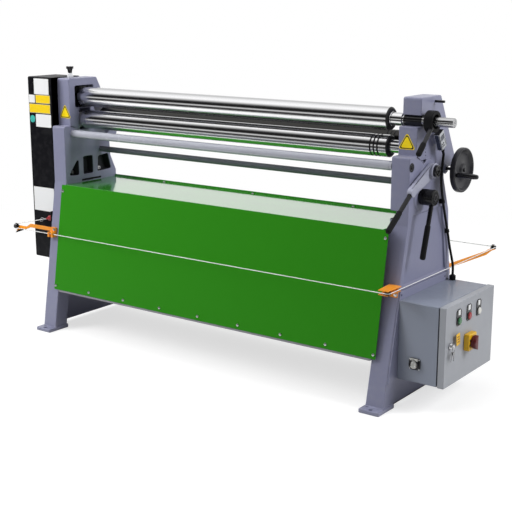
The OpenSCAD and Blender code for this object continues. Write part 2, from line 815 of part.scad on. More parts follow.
module pinch_arm() {
    tip = [pinch_y + arm_len * cos(arm_angle), pinch_z + arm_len * sin(arm_angle)];
    color([0.60, 0.60, 0.64]) difference() {
        union() {
            along_x(arm_x, arm_t) hull() {
                translate([pinch_y, pinch_z]) circle(d = pinch_hub_d);
                translate(tip) circle(d = arm_boss_d);
            }
            bar_x(arm_x, arm_boss_t, arm_boss_d, tip[0], tip[1]);
            bar_x(arm_x + 1, pinch_boss[1] - 1, pinch_boss[0], pinch_y, pinch_z);
            bar_x(pad_x - shaft_seat, shaft_seat + arm_gap + 1, pinch_shaft_d, pinch_y, pinch_z);
        }
        translate([arm_x + arm_boss_t / 2, tip[0], tip[1]]) rotate([handle_angle - 90, 0, 0])
            translate([0, 0, arm_boss_d / 2 - socket_deep]) cylinder(h = arm_boss_d, d = rod_d + 2 * run_gap);
    }
}

module pinch_cap() {
    x = arm_x + pinch_boss[1];
    color([0.08, 0.08, 0.09]) {
        bar_x(x, pinch_cap_t - 3, pinch_cap_d, pinch_y, pinch_z);
        bar_x(x + pinch_cap_t - 3, 3, pinch_cap_d, pinch_y, pinch_z, pinch_cap_d - 6);
    }
}

module pinch_handle() {
    tip = [pinch_y + arm_len * cos(arm_angle), pinch_z + arm_len * sin(arm_angle)];
    color([0.10, 0.10, 0.11])
        lever([arm_x + arm_boss_t / 2, tip[0], tip[1]], handle_angle,
            arm_boss_d / 2 - socket_deep, handle_len, pinch_grip_len, rod_d, lever_grip_d);
}

module feed_hub() {
    color([0.25, 0.25, 0.27]) difference() {
        union() {
            bar_x(arm_x, feed_hub_len - 3, feed_hub_d, feed_y, feed_z);
            bar_x(arm_x + feed_hub_len - 3, 3, feed_hub_d, feed_y, feed_z, feed_hub_d - 6);
            bar_x(pad_x - shaft_seat, shaft_seat + arm_gap + 1, feed_shaft_d, feed_y, feed_z);
        }
        translate([feed_rod_x, feed_y, feed_z]) rotate([feed_angle - 90, 0, 0])
            translate([0, 0, feed_hub_d / 2 - socket_deep]) cylinder(h = feed_hub_d, d = rod_d + 2 * run_gap);
    }
}

module feed_handle() {
    color([0.10, 0.10, 0.11])
        lever([feed_rod_x, feed_y, feed_z], feed_angle, feed_hub_d / 2 - socket_deep, feed_len, feed_grip_len,
            rod_d, lever_grip_d);
}

module handwheel() {
    color([0.12, 0.12, 0.13]) difference() {
        union() {
            bar_x(wheel_x, wheel_t, wheel_d, wheel_y, wheel_z);
            bar_x(wheel_x - 8, wheel_t + 6, wheel_hub_d, wheel_y, wheel_z);
            bar_x(pad_x - shaft_seat, wheel_x - pad_x + shaft_seat + 2, wheel_shaft_d, wheel_y, wheel_z);
        }
        difference() {
            bar_x(wheel_x + wheel_t * 0.4, wheel_t, wheel_d - 2 * wheel_rim, wheel_y, wheel_z);
            bar_x(wheel_x, wheel_t * 2, wheel_hub_d, wheel_y, wheel_z);
            pin_x(1, wheel_x, wheel_t, grip_d + 8, wheel_y + grip_pos[0], wheel_z + grip_pos[1]);
        }
        difference() {
            bar_x(wheel_x - 1, wheel_t * 0.25, wheel_d - 2 * wheel_rim, wheel_y, wheel_z);
            bar_x(wheel_x - 2, wheel_t, wheel_hub_d, wheel_y, wheel_z);
        }
        pin_x(1, wheel_x + wheel_t * 0.35, wheel_t, grip_pin_d + 2 * run_gap, wheel_y + grip_pos[0],
            wheel_z + grip_pos[1]);
    }
}

module handwheel_grip() {
    y = wheel_y + grip_pos[0];
    z = wheel_z + grip_pos[1];
    x0 = wheel_x + wheel_t + 1;
    color([0.08, 0.08, 0.09]) {
        bar_x(wheel_x + wheel_t * 0.35 + 1, wheel_t, grip_pin_d, y, z);
        bar_x(x0, 5, grip_d - 6, y, z, grip_d - 2);
        bar_x(x0 + 5, grip_len / 2 - 5, grip_d - 2, y, z, grip_d);
        bar_x(x0 + grip_len / 2, grip_len / 2 - 9, grip_d, y, z, grip_d - 2);
        bar_x(x0 + grip_len - 9, 6, grip_d - 2, y, z, grip_d - 8);
    }
}

module readout_frame() {
    translate([outer, read_y, read_z]) rotate([read_tilt, 0, 0]) children();
}

module readout() {
    stem = [read_out + read_size[2] / 2, 0, -read_size[1] / 2 - stem_len];
    color([0.10, 0.10, 0.11]) readout_frame() difference() {
        union() {
            along_x(read_out, read_size[2]) rounded_rect(read_size[0], read_size[1], 5);
            translate(stem) cylinder(h = stem_len + 1, d = stem_d);
        }
        along_x(read_out + read_size[2] - 1.5, 3) translate([0, 12]) rounded_rect(32, 24, 2);
        translate(stem - [0, 0, 1]) cylinder(h = 9, d = cable_d + cable_gap);
    }
}

module readout_bracket() {
    color([0.08, 0.08, 0.09]) readout_frame() {
        along_x(0, 4) rounded_rect(34, 44, 4);
        along_x(3, read_out - 3) rounded_rect(22, 28, 3);
    }
}

// Smooth line through the points of a route, kept straight on the spans that run in a clip or a socket
cable_steps = 4;
cable_sides = 12;

function spline(a, b, c, d, t) = 0.5 * (2 * b + (c - a) * t + (2 * a - 5 * b + 4 * c - d) * t * t
    + (3 * b - a - 3 * c + d) * t * t * t);

function straight(i) = i == 0 || i == clip_at[0] || i == clip_at[1] || i == len(cable_route) - 2;

function smooth_route(r) = concat([for (i = [0 : len(r) - 2], k = [0 : cable_steps - 1])
    if (!straight(i) || k == 0) straight(i) ? r[i]
        : spline(r[i - 1], r[i], r[i + 1], r[i + 2], k / cable_steps)], [r[len(r) - 1]]);

module swept(path, d, sides, side_dir) {
    last = len(path) - 1;
    rings = [for (i = [0 : last])
        let (v = path[min(i + 1, last)] - path[max(i - 1, 0)], w = cross(v, side_dir), u = cross(w, v))
        for (k = [0 : sides - 1]) path[i] + d / 2 * (cos(360 * k / sides) * u / norm(u)
            + sin(360 * k / sides) * w / norm(w))];
    walls = [for (i = [0 : last - 1], k = [0 : sides - 1])
        let (a = i * sides + k, b = i * sides + (k + 1) % sides)
        each [[a, b, a + sides], [b, b + sides, a + sides]]];
    start = [for (k = [1 : sides - 2]) [0, k + 1, k]];
    end = [for (k = [1 : sides - 2]) [last * sides, last * sides + k, last * sides + k + 1]];
    polyhedron(rings, concat(walls, start, end));
}

module readout_cable() {
    color([0.05, 0.05, 0.05]) swept(smooth_route(cable_route), cable_d, cable_sides, [1, 0, 0]);
}

module cable_fittings() {
    color([0.06, 0.06, 0.06]) {
        for (i = clip_at) {
            a = cable_route[i];
            v = cable_route[i + 1] - a;
            m = a + v / 2;
            tilt = acos(v[2] / norm(v));
            turn = atan2(v[1], v[0]);
            difference() {
                union() {
                    translate(m) rotate([0, tilt, turn]) translate([0, 0, -6])
                        cylinder(h = 12, d = cable_d + 5);
                    translate([outer, m[1] - 5, m[2] - 9]) cube([m[0] - outer, 10, 18]);
                }
                translate(m) rotate([0, tilt, turn]) translate([0, 0, -20])
                    cylinder(h = 40, d = cable_d + cable_gap);
                translate([outer - 20, m[1] - 15, m[2] - 15]) cube([20, 30, 30]);
            }
        }
        translate([gland_x, gland_y, cab_top]) difference() {
            union() {
                cylinder(h = 8, d = gland_d + 4, $fn = 6);
                translate([0, 0, 7]) cylinder(h = gland_h - 12, d = gland_d);
                translate([0, 0, gland_h - 5]) cylinder(h = 5, d1 = gland_d, d2 = gland_d - 8);
            }
            translate([0, 0, gland_floor]) cylinder(h = gland_h, d = cable_d + cable_gap);
        }
    }
}

module cabinet_mount() {
    z0 = cab_low - 5;
    z1 = cab_top + 32;
    color([0.50, 0.52, 0.57]) slab(1, outer, mount_t) difference() {
        polygon([
            [leg_front(right_low_y, z0) + 3, z0], [leg_front(right_low_y, z1) + 3, z1],
            [cab_y + cab_w / 2 + 4, z1], [cab_y + cab_w / 2 + 4, z0]
        ]);
        for (y = [cab_y - 190, cab_y + 170], z = [cab_top + 16]) translate([y, z]) circle(d = 9);
    }
}

module cabinet_body() {
    color([0.50, 0.52, 0.57]) {
        difference() {
            slab(1, mount_x, cab_d) translate([cab_y, cab_low + cab_h / 2]) rounded_rect(cab_w, cab_h, 4);
            slab(1, mount_x + cab_wall, cab_d - 2 * cab_wall) translate([cab_y, cab_low + cab_h / 2])
                rounded_rect(cab_w - 2 * cab_wall, cab_h - 2 * cab_wall, 2);
            slab(1, cab_x - 2 * cab_wall, 3 * cab_wall) translate([cab_y, cab_low + cab_h / 2])
                rounded_rect(cab_w - 2 * cab_flange, cab_h - 2 * cab_flange, 2);
        }
        for (z = hinge_z) {
            translate([cab_x - 7, cab_y + cab_w / 2 - 1, z]) cube([7, hinge_off + 1, hinge_len]);
            translate([hinge_x, hinge_y, z]) cylinder(h = hinge_len, d = hinge_d);
            translate([cab_x - 3, hinge_y - hinge_d / 2, z])
                cube([hinge_x - cab_x + 3, hinge_d / 2, hinge_len]);
            translate([hinge_x, hinge_y, z + hinge_len - 1]) cylinder(h = hinge_len, d = hinge_pin_d);
        }
    }
}

module cabinet_door() {
    h = cab_h + 2 * door_lap;
    w = cab_w + 2 * door_lap;
    mid = [cab_y, cab_low + cab_h / 2];
    color([0.55, 0.57, 0.62]) difference() {
        union() {
            difference() {
                slab(1, door_x, door_t) translate(mid) rounded_rect(w, h, 4);
                slab(1, door_x - 1, door_t - cab_wall + 1) translate(mid)
                    rounded_rect(w - 2 * cab_wall, h - 2 * cab_wall, 2);
            }
            for (z = hinge_z) {
                translate([door_x, cab_y + w / 2 - 1, z + hinge_len + 1])
                    cube([7, hinge_y - cab_y - w / 2 + 1, hinge_len]);
                translate([hinge_x, hinge_y, z + hinge_len + 1]) cylinder(h = hinge_len, d = hinge_d);
                translate([hinge_x, hinge_y - hinge_d / 2, z + hinge_len + 1])
                    cube([door_x - hinge_x + 1, hinge_d, hinge_len]);
            }
        }
        for (z = hinge_z) translate([hinge_x, hinge_y, z + hinge_len]) cylinder(
            h = hinge_len + 2, d = hinge_pin_d + 2 * run_gap);
        for (i = [0 : 2])
            pin_x(1, door_x, door_t + 1, button_d + 2 * block_gap, button_y + i * button_pitch, button_z);
        pin_x(1, door_x, door_t + 1, lock_d + 2 * run_gap, lock_y, lock_z);
    }
}

module button_frames() {
    color([0.07, 0.07, 0.08]) for (i = [0 : 2]) difference() {
        union() {
            slab(1, door_out, button_frame[2]) translate([button_y + i * button_pitch, button_z + 14])
                rounded_rect(button_frame[0], button_frame[1], 12);
            pin_x(1, door_out, button_frame[2] + bezel_t, button_d + 5,
                button_y + i * button_pitch, button_z);
        }
        pin_x(1, door_out - 1, 20, button_d + 2 * block_gap, button_y + i * button_pitch, button_z);
        slab(1, door_out + 1.5, 5) translate([button_y + i * button_pitch, button_z + 33])
            rounded_rect(20, 22, 3);
    }
}

module push_button(i) {
    y = button_y + i * button_pitch;
    x1 = door_out + button_frame[2] + bezel_t + 5;
    bar_x(x1 - button_len, button_len - 1.5, button_d, y, button_z);
    bar_x(x1 - 1.5, 1.5, button_d, y, button_z, button_d - 3);
}

module green_button() {
    color([0.10, 0.45, 0.18]) push_button(0);
}

module red_button() {
    color([0.65, 0.08, 0.08]) push_button(1);
}

module white_button() {
    color([0.85, 0.85, 0.83]) push_button(2);
}

module main_switch_plate() {
    color([0.90, 0.68, 0.05]) difference() {
        slab(1, door_out, switch_plate[1]) translate([switch_y, switch_z])
            rounded_rect(switch_plate[0], switch_plate[0], 6);
        pin_x(1, door_out + 4, switch_plate[1], switch_shaft_d + 2 * run_gap, switch_y, switch_z);
    }
}

module main_switch_knob() {
    x0 = door_out + switch_plate[1] + 1;
    color([0.45, 0.05, 0.05]) {
        bar_x(x0, 8, switch_knob[0] + 6, switch_y, switch_z);
        slab(1, x0 + 7, switch_knob[1] - 7) intersection() {
            translate([switch_y, switch_z]) rounded_rect(16, switch_knob[0], 4);
            translate([switch_y, switch_z]) circle(d = switch_knob[0]);
        }
        bar_x(door_out + 5, switch_plate[1] - 3, switch_shaft_d, switch_y, switch_z);
    }
}

module door_lock() {
    color([0.75, 0.75, 0.77]) {
        bar_x(door_x + 6, door_t + 1, lock_d, lock_y, lock_z);
        slab(1, door_x + 2, 5) translate([lock_y, lock_z]) square([10, 10], center = true);
        slab(1, door_out + 5, 14) translate([lock_y, lock_z]) rounded_rect(3, 18, 1);
    }
}

module power_inlet() {
    place = [mount_x + inlet_in, cab_y - cab_w / 2, cab_low + inlet_up];
    color([0.10, 0.10, 0.11]) translate(place) rotate([90, 0, 0]) difference() {
        linear_extrude(inlet[2]) rounded_rect(inlet[0], inlet[1], 6);
        translate([0, 0, 4]) cylinder(h = inlet[2], d = 36);
    }
}

// Flat plate in a plane through c, spanned by X and the leaning direction of the left pulley
module leaning(c) {
    translate(c) rotate([-90 - lean, 0, 0]) children();
}

// Bar through a row of four-cornered sections
module loft(rings) {
    last = len(rings) - 1;
    walls = [for (i = [0 : last - 1], k = [0 : 3])
        let (a = 4 * i + k, b = 4 * i + (k + 1) % 4)
        each [[a, a + 4, b + 4], [a, b + 4, b]]];
    polyhedron([for (r = rings) each r],
        concat(walls, [[0, 1, 2], [0, 2, 3]], [[4 * last, 4 * last + 2, 4 * last + 1],
            [4 * last, 4 * last + 3, 4 * last + 2]]));
}

function section(c, l, h) = [c - l - h, c + l - h, c + l + h, c - l + h];

module rear_arm(side) {
    tip = [side * rear_tip[0], rear_tip[1], rear_tip[2] - pulley_t / 2 - 1 - arm_plate / 2];
    z = tip[2] - arm_w / 2 + arm_plate / 2;
    y0 = rear_face(side, z) + 3;
    base = [side * (outer - 20), y0, z];
    reach = tip - [base[0], base[1], tip[2]];
    u = reach / norm(reach);
    l = cross([0, 0, 1], u);
    on_edge = base + 0.84 * norm(reach) * u;
    loft([
        section(base, l * arm_plate / 2, [0, 0, arm_w / 2]),
        section(on_edge, l * arm_plate / 2, [0, 0, arm_w / 2]),
        section([on_edge[0], on_edge[1], tip[2]] + 36 * u, l * arm_w / 2, [0, 0, arm_plate / 2]),
        section(tip, l * arm_w / 2, [0, 0, arm_plate / 2])
    ]);
    translate(tip - [0, 0, arm_plate / 2]) cylinder(h = arm_plate, d = arm_w + 3);
    translate(tip) cylinder(h = pulley_t + 9, d = pulley_pin_d);
    slab(side, outer - 38, 36) polygon([
        [rear_face(side, z - 26), z - 26], [rear_face(side, z - 26) + 6, z - 26],
        [rear_face(side, z + 26) + 6, z + 26], [rear_face(side, z + 26), z + 26]
    ]);
}

// Rear edge of a leg at height z
function rear_face(side, z) = side > 0
    ? mix(leg_y, axis_y + 252, (z - leg_low) / (axis_z - 500 - leg_low))
    : mix(leg_y, panel_back + 8, (z - leg_low) / (panel_top - leg_low));

module corner_bracket() {
    low = corner[2] - 36;
    high = corner[2] + pulley_t / 2 + 1 + arm_plate;
    slab(1, outer - 45, 42) polygon([
        [leg_front(right_low_y, low), low], [leg_front(right_low_y, low) - arm_plate, low],
        [leg_front(right_low_y, high) - arm_plate, high], [leg_front(right_low_y, high), high]
    ]);
    for (z = [high - arm_plate, corner[2] - pulley_t / 2 - 1 - arm_plate])
        translate([outer - 45, corner[1] - 9, z])
            cube([53, leg_front(right_low_y, z) - corner[1] + 8, arm_plate]);
    translate([corner[0], corner[1], corner[2] - 9]) cylinder(h = 18, d = pulley_pin_d);
}

module left_bracket() {
    z0 = rope_h - 12;
    z1 = rope_h + 32;
    difference() {
        slab(-1, outer - 40, 34) polygon([
            [leg_front(left_low_y, z0), z0], [rope_eye[1] - 8, z0], [rope_eye[1] - 8, z0 + 24],
            [front_run_y + 6, z0 + 24], [front_run_y + 6, z1], [leg_front(left_low_y, z1), z1]
        ]);
        bar_x(-outer, frame_t, rope_d + 2, rope_eye[1], rope_eye[2]);
        translate([-(outer - 16), rope_eye[1] - 9, z0 - 1]) cube([12, 10, 40]);
    }
}

module left_arm() {
    back = pulley_t / 2 + 3.5;
    mid = [0, front_run_y + 6 + arm_plate / 2, rope_h + 13 + arm_w / 2];
    tip = left_tip + back * lean_n;
    loft([
        section([-(outer - 30), mid[1], mid[2]], [0, -arm_plate / 2, 0], [0, 0, arm_w / 2]),
        section([left_tip_x + 100, mid[1], mid[2]], [0, -arm_plate / 2, 0], [0, 0, arm_w / 2]),
        section([left_tip_x + 64, tip[1], tip[2]], -arm_plate / 2 * lean_n, (arm_w / 2 - 2) * lean_v),
        section(tip, -arm_plate / 2 * lean_n, (arm_w / 2 - 2) * lean_v)
    ]);
    leaning(tip) {
        translate([0, 0, -arm_plate / 2]) cylinder(h = arm_plate, d = arm_w);
        translate([0, 0, -pulley_t - 9]) cylinder(h = pulley_t + 9, d = pulley_pin_d);
    }
}

module rope_arms() {
    color([0.85, 0.42, 0.06]) {
        corner_bracket();
        left_bracket();
        left_arm();
        rear_arm(1);
        rear_arm(-1);
    }
}

module pulley() {
    difference() {
        translate([0, 0, -pulley_t / 2]) cylinder(h = pulley_t, d = pulley_d);
        translate([0, 0, -pulley_t]) cylinder(h = 2 * pulley_t, d = pulley_pin_d + 2 * run_gap);
        rotate_extrude() {
            translate([wrap_r, 0]) circle(d = rope_d + 2 * seat_gap);
            translate([wrap_r, -rope_d / 2 - seat_gap]) square([rope_d, rope_d + 2 * seat_gap]);
        }
    }
}

module rope_pulleys() {
    color([0.07, 0.07, 0.08]) {
        translate(corner) pulley();
        translate(rear_tip) pulley();
        translate([-rear_tip[0], rear_tip[1], rear_tip[2]]) pulley();
        leaning(left_tip) pulley();
    }
}

// Points of the rope on a pulley, in the plane of the unit vectors a and b
function wrap(c, from, to, a, b) = let (n = ceil(abs(to - from) / 15))
    [for (i = [0 : n]) let (t = mix(from, to, i / n)) c + wrap_r * (cos(t) * a + sin(t) * b)];

module trip_rope() {
    x = [1, 0, 0];
    y = [0, 1, 0];
    color([0.70, 0.70, 0.72]) swept(concat(
        [switch_end],
        wrap(left_tip, run_turn, 270, x, lean_v),
        wrap(corner, -90, 0, x, y),
        wrap(rear_tip, 0, 90, x, y),
        wrap([-rear_tip[0], rear_tip[1], rear_tip[2]], 90, 340, x, y)
    ), rope_d, rope_sides, [0, 0, 1]);
}

module rope_switch() {
    d = [cos(run_tilt), 0, 0] + sin(run_tilt) * lean_v;
    color([0.65, 0.08, 0.08]) {
        difference() {
            bar(switch_end - 8 * d, switch_end + 14 * d, rope_d + 5);
            bar(switch_end - 9 * d, switch_end, rope_d + 2 * run_gap);
        }
        bar(switch_end + 8 * d, switch_end + 32 * d, 26);
        translate([-(outer + 8), switch_end[1] - 12, switch_end[2] - 6]) cube([8, 24, 46]);
    }
}

left_frame();
right_frame();
front_tie_bar();
rear_tie_bar();
front_panel();
top_panel();
rear_panel();
panel_rails();
drive_cover();
top_roll();
bottom_roll();
rear_roll();
top_bearing_block();
jaw_bush();
bottom_bearing_blocks();
rear_bearing_blocks();
release_ring();
release_lever();
star_knob();
pinch_arm();
pinch_handle();
pinch_cap();
feed_hub();
feed_handle();
handwheel();
handwheel_grip();
readout();
readout_bracket();
readout_cable();
cable_fittings();
cabinet_mount();
cabinet_body();
cabinet_door();
button_frames();
green_button();
red_button();
white_button();
main_switch_plate();
main_switch_knob();
door_lock();
power_inlet();
rope_arms();
rope_pulleys();
trip_rope();
rope_switch();
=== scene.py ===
"""Finished pieces, materials, light and camera of a floor-standing plate rolling machine."""

import logging
import math
from dataclasses import dataclass, field
from enum import Enum
from functools import cached_property
from typing import Callable, Iterable, Sequence

import bmesh
import bpy
from bmesh.types import BMesh
from bpy.types import GeometryNodeTree, Material, Mesh, Node, Object, ShaderNodeTree
from bpy.types import NodeSocket as Socket, NodeTree as Tree
from mathutils import Matrix, Vector


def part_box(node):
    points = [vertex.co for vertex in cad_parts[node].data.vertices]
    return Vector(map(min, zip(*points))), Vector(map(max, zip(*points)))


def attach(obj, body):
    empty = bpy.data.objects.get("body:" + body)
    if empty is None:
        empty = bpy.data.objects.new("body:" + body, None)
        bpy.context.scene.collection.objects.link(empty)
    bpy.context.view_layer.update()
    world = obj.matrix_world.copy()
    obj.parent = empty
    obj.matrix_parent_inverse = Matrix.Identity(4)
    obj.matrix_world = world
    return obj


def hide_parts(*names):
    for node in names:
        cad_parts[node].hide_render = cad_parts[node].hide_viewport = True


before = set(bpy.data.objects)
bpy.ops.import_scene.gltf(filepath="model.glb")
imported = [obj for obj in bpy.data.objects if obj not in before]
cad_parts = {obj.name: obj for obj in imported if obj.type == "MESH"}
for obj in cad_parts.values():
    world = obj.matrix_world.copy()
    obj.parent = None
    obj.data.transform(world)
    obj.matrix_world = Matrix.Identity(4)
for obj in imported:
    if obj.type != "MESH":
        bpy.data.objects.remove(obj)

log = logging.getLogger("plate_roller")
Pair = tuple[float, float]
Triple = tuple[float, float, float]
Point = Sequence[float]
Profile = Sequence[Pair]
Maker = Callable[[BMesh], None]

# Metres in a millimetre, the smallest lengths that count, and limits of rounding.
MM = 0.001
TINY = 1e-6
SAME_PLACE = 1e-7
STRAIGHT = 0.98
MOST_OF_SIDE = 0.45
# Angles in degrees above which an edge stays sharp or is rounded, or below which faces are joined.
SMOOTH_ANGLE = 35.0
HEAD_ANGLE = 30.0
SWEPT_ANGLE = 60.0
BEVEL_ANGLE = 40.0
FLAT_ANGLE = 0.6
BEVEL_STEPS = 3
FACE_WEIGHT = 80
X_AXIS, Y_AXIS, Z_AXIS = (1, 0, 0), (0, 1, 0), (0, 0, 1)


class Body(str, Enum):
    """Moving bodies of the machine that pieces ride on."""

    MACHINE = "machine"
    TOP_CARRIER = "top_carrier"
    TOP_ROLL = "top_roll"
    RELEASE = "release"
    LOW_CARRIER = "low_carrier"
    LOW_ROLL = "low_roll"
    REAR_CARRIER = "rear_carrier"
    BACK_ROLL = "back_roll"
    WHEEL = "wheel"
    WHEEL_GRIP = "wheel_grip"
    PINCH = "pinch_lever"
    FEED = "feed_lever"
    DOOR = "door"
    SWITCH = "switch_knob"
    GREEN = "button_green"
    RED = "button_red"
    WHITE = "button_white"
    LOCK = "lock"
    STAR = "star"


class Pattern(Enum):
    """Fine relief that a finish shows."""

    ORANGE_PEEL = "orange_peel"
    FINE_GRAIN = "fine_grain"
    TURNED = "turned"
    SMOOTH = "smooth"


PEEL, GRAIN = Pattern.ORANGE_PEEL, Pattern.FINE_GRAIN


# ---------------------------------------------------------------- shader groups


@dataclass
class GroupBuilder:
    """Builds one shader node group with named sockets."""

    name: str
    inputs: dict[str, float] = field(default_factory=dict)
    output: str = "Mask"

    def start(self) -> tuple[ShaderNodeTree, Node, Node]:
        """Makes the empty group.

        Returns:
            The tree, its input node and its output node.
        """
        tree = bpy.data.node_groups.new(self.name, "ShaderNodeTree")
        for label, value in self.inputs.items():
            socket = tree.interface.new_socket(label, in_out="INPUT", socket_type="NodeSocketFloat")
            socket.default_value = value
        tree.interface.new_socket(self.output, in_out="OUTPUT", socket_type="NodeSocketFloat")
        return tree, tree.nodes.new("NodeGroupInput"), tree.nodes.new("NodeGroupOutput")


def wire(tree: Tree, *links: tuple[Node, object, Node, object]) -> None:
    """Links sockets, each link given as a node, its output, a node and its input."""
    for source, out, target, into in links:
        tree.links.new(source.outputs[out], target.inputs[into])


def feed(tree: Tree, target: Socket, value: object) -> None:
    """Links a socket to an input, or sets the input to a plain value.

    Args:
        tree: The node tree.
        target: The input.
        value: A socket, a plain value, or None to leave the input as it is.
    """
    if isinstance(value, Socket):
        tree.links.new(value, target)
    elif value is not None:
        target.default_value = value


def math_node(tree: Tree, kind: str, a: object, b: object = None, clamp: bool = False) -> Socket:
    """Adds a Math node.

    Args:
        tree: The node tree.
        kind: Blender's name of the operation.
        a: First value or socket.
        b: Second value or socket.
        clamp: Whether the result is held between 0 and 1.

    Returns:
        The result socket.
    """
    node = tree.nodes.new("ShaderNodeMath")
    node.operation = kind
    node.use_clamp = clamp
    for i, value in enumerate((a, b)):
        feed(tree, node.inputs[i], value)
    return node.outputs[0]


def noise_node(tree: Tree, scale: object, detail: float = 3.0, stretch: Point = (1, 1, 1)) -> Socket:
    """Adds noise on Object coordinates.

    Args:
        tree: The node tree.
        scale: Noise scale, a value or a socket.
        detail: Number of octaves.
        stretch: Factors on X, Y and Z.

    Returns:
        The noise value socket.
    """
    coord, mapping, noise = (tree.nodes.new(f"ShaderNode{kind}") for kind in ("TexCoord", "Mapping", "TexNoise"))
    mapping.inputs["Scale"].default_value = stretch
    noise.inputs["Detail"].default_value = detail
    wire(tree, (coord, "Object", mapping, "Vector"), (mapping, "Vector", noise, "Vector"))
    feed(tree, noise.inputs["Scale"], scale)
    return noise.outputs[0]


def map_range(tree: Tree, value: Socket, low: float, high: float, to_low: float = 0.0, to_high: float = 1.0) -> Socket:
    """Adds a clamped Map Range node.

    Args:
        tree: The node tree.
        value: The socket to remap.
        low: Value that becomes to_low.
        high: Value that becomes to_high.
        to_low: Result at the low end.
        to_high: Result at the high end.

    Returns:
        The result socket.
    """
    node = tree.nodes.new("ShaderNodeMapRange")
    node.inputs["From Min"].default_value = low
    node.inputs["From Max"].default_value = high
    node.inputs["To Min"].default_value = to_low
    node.inputs["To Max"].default_value = to_high
    tree.links.new(value, node.inputs["Value"])
    return node.outputs[0]


class ShaderGroups:
    """The effects that several finishes share, each built once."""

    @cached_property
    def edge_wear(self) -> ShaderNodeTree:
        """Rubbed places along outer edges, as a mask.

        Returns:
            A group with a Mask output.
        """
        tree, given, result = GroupBuilder("edge_wear", {"Amount": 0.5, "Scale": 40.0}).start()
        geometry = tree.nodes.new("ShaderNodeNewGeometry")
        ridge = map_range(tree, geometry.outputs["Pointiness"], 0.515, 0.56)
        patches = map_range(tree, noise_node(tree, given.outputs["Scale"], 5.0), 0.45, 0.7)
        rubbed = math_node(tree, "MULTIPLY", ridge, patches)
        tree.links.new(math_node(tree, "MULTIPLY", rubbed, given.outputs["Amount"], True), result.inputs["Mask"])
        return tree

    @cached_property
    def grain(self) -> ShaderNodeTree:
        """Even grain of a coating or a moulded surface, as a height.

        Returns:
            A group with a Height output.
        """
        tree, given, result = GroupBuilder("grain", {"Scale": 300.0, "Depth": 1.0}, "Height").start()
        fine = noise_node(tree, given.outputs["Scale"], 2.0)
        tree.links.new(math_node(tree, "MULTIPLY", fine, given.outputs["Depth"]), result.inputs["Height"])
        return tree

    @cached_property
    def mottle(self) -> ShaderNodeTree:
        """Slow change of tone over a large surface, as a mask.

        Returns:
            A group with a Mask output.
        """
        tree, given, result = GroupBuilder("mottle", {"Scale": 3.0, "Amount": 0.5}).start()
        slow = map_range(tree, noise_node(tree, given.outputs["Scale"], 4.0), 0.3, 0.7)
        tree.links.new(math_node(tree, "MULTIPLY", slow, given.outputs["Amount"], True), result.inputs["Mask"])
        return tree

    @cached_property
    def dust(self) -> ShaderNodeTree:
        """Thin dust on faces that look up, as a mask.

        Returns:
            A group with a Mask output.
        """
        tree, given, result = GroupBuilder("dust", {"Amount": 0.3, "Scale": 12.0}).start()
        geometry = tree.nodes.new("ShaderNodeNewGeometry")
        parts = tree.nodes.new("ShaderNodeSeparateXYZ")
        tree.links.new(geometry.outputs["Normal"], parts.inputs[0])
        upward = map_range(tree, parts.outputs["Z"], 0.5, 0.95)
        cloud = map_range(tree, noise_node(tree, given.outputs["Scale"], 6.0), 0.35, 0.75)
        both = math_node(tree, "MULTIPLY", upward, cloud)
        tree.links.new(math_node(tree, "MULTIPLY", both, given.outputs["Amount"], True), result.inputs["Mask"])
        return tree

    @cached_property
    def turning(self) -> ShaderNodeTree:
        """Fine rings that grinding leaves around a shaft along X, as a height.

        Returns:
            A group with a Height output.
        """
        tree, given, result = GroupBuilder("turning", {"Scale": 900.0}, "Height").start()
        rings = noise_node(tree, given.outputs["Scale"], 2.0, (1.0, 0.02, 0.02))
        tree.links.new(rings, result.inputs["Height"])
        return tree


GROUPS = ShaderGroups()


# ---------------------------------------------------------------- finishes


DUST_TONE = (0.62, 0.61, 0.59)
RELIEF_DEPTH = 0.0006
ROUGH_SPREAD = 0.12
DEEP_TONE = 0.82


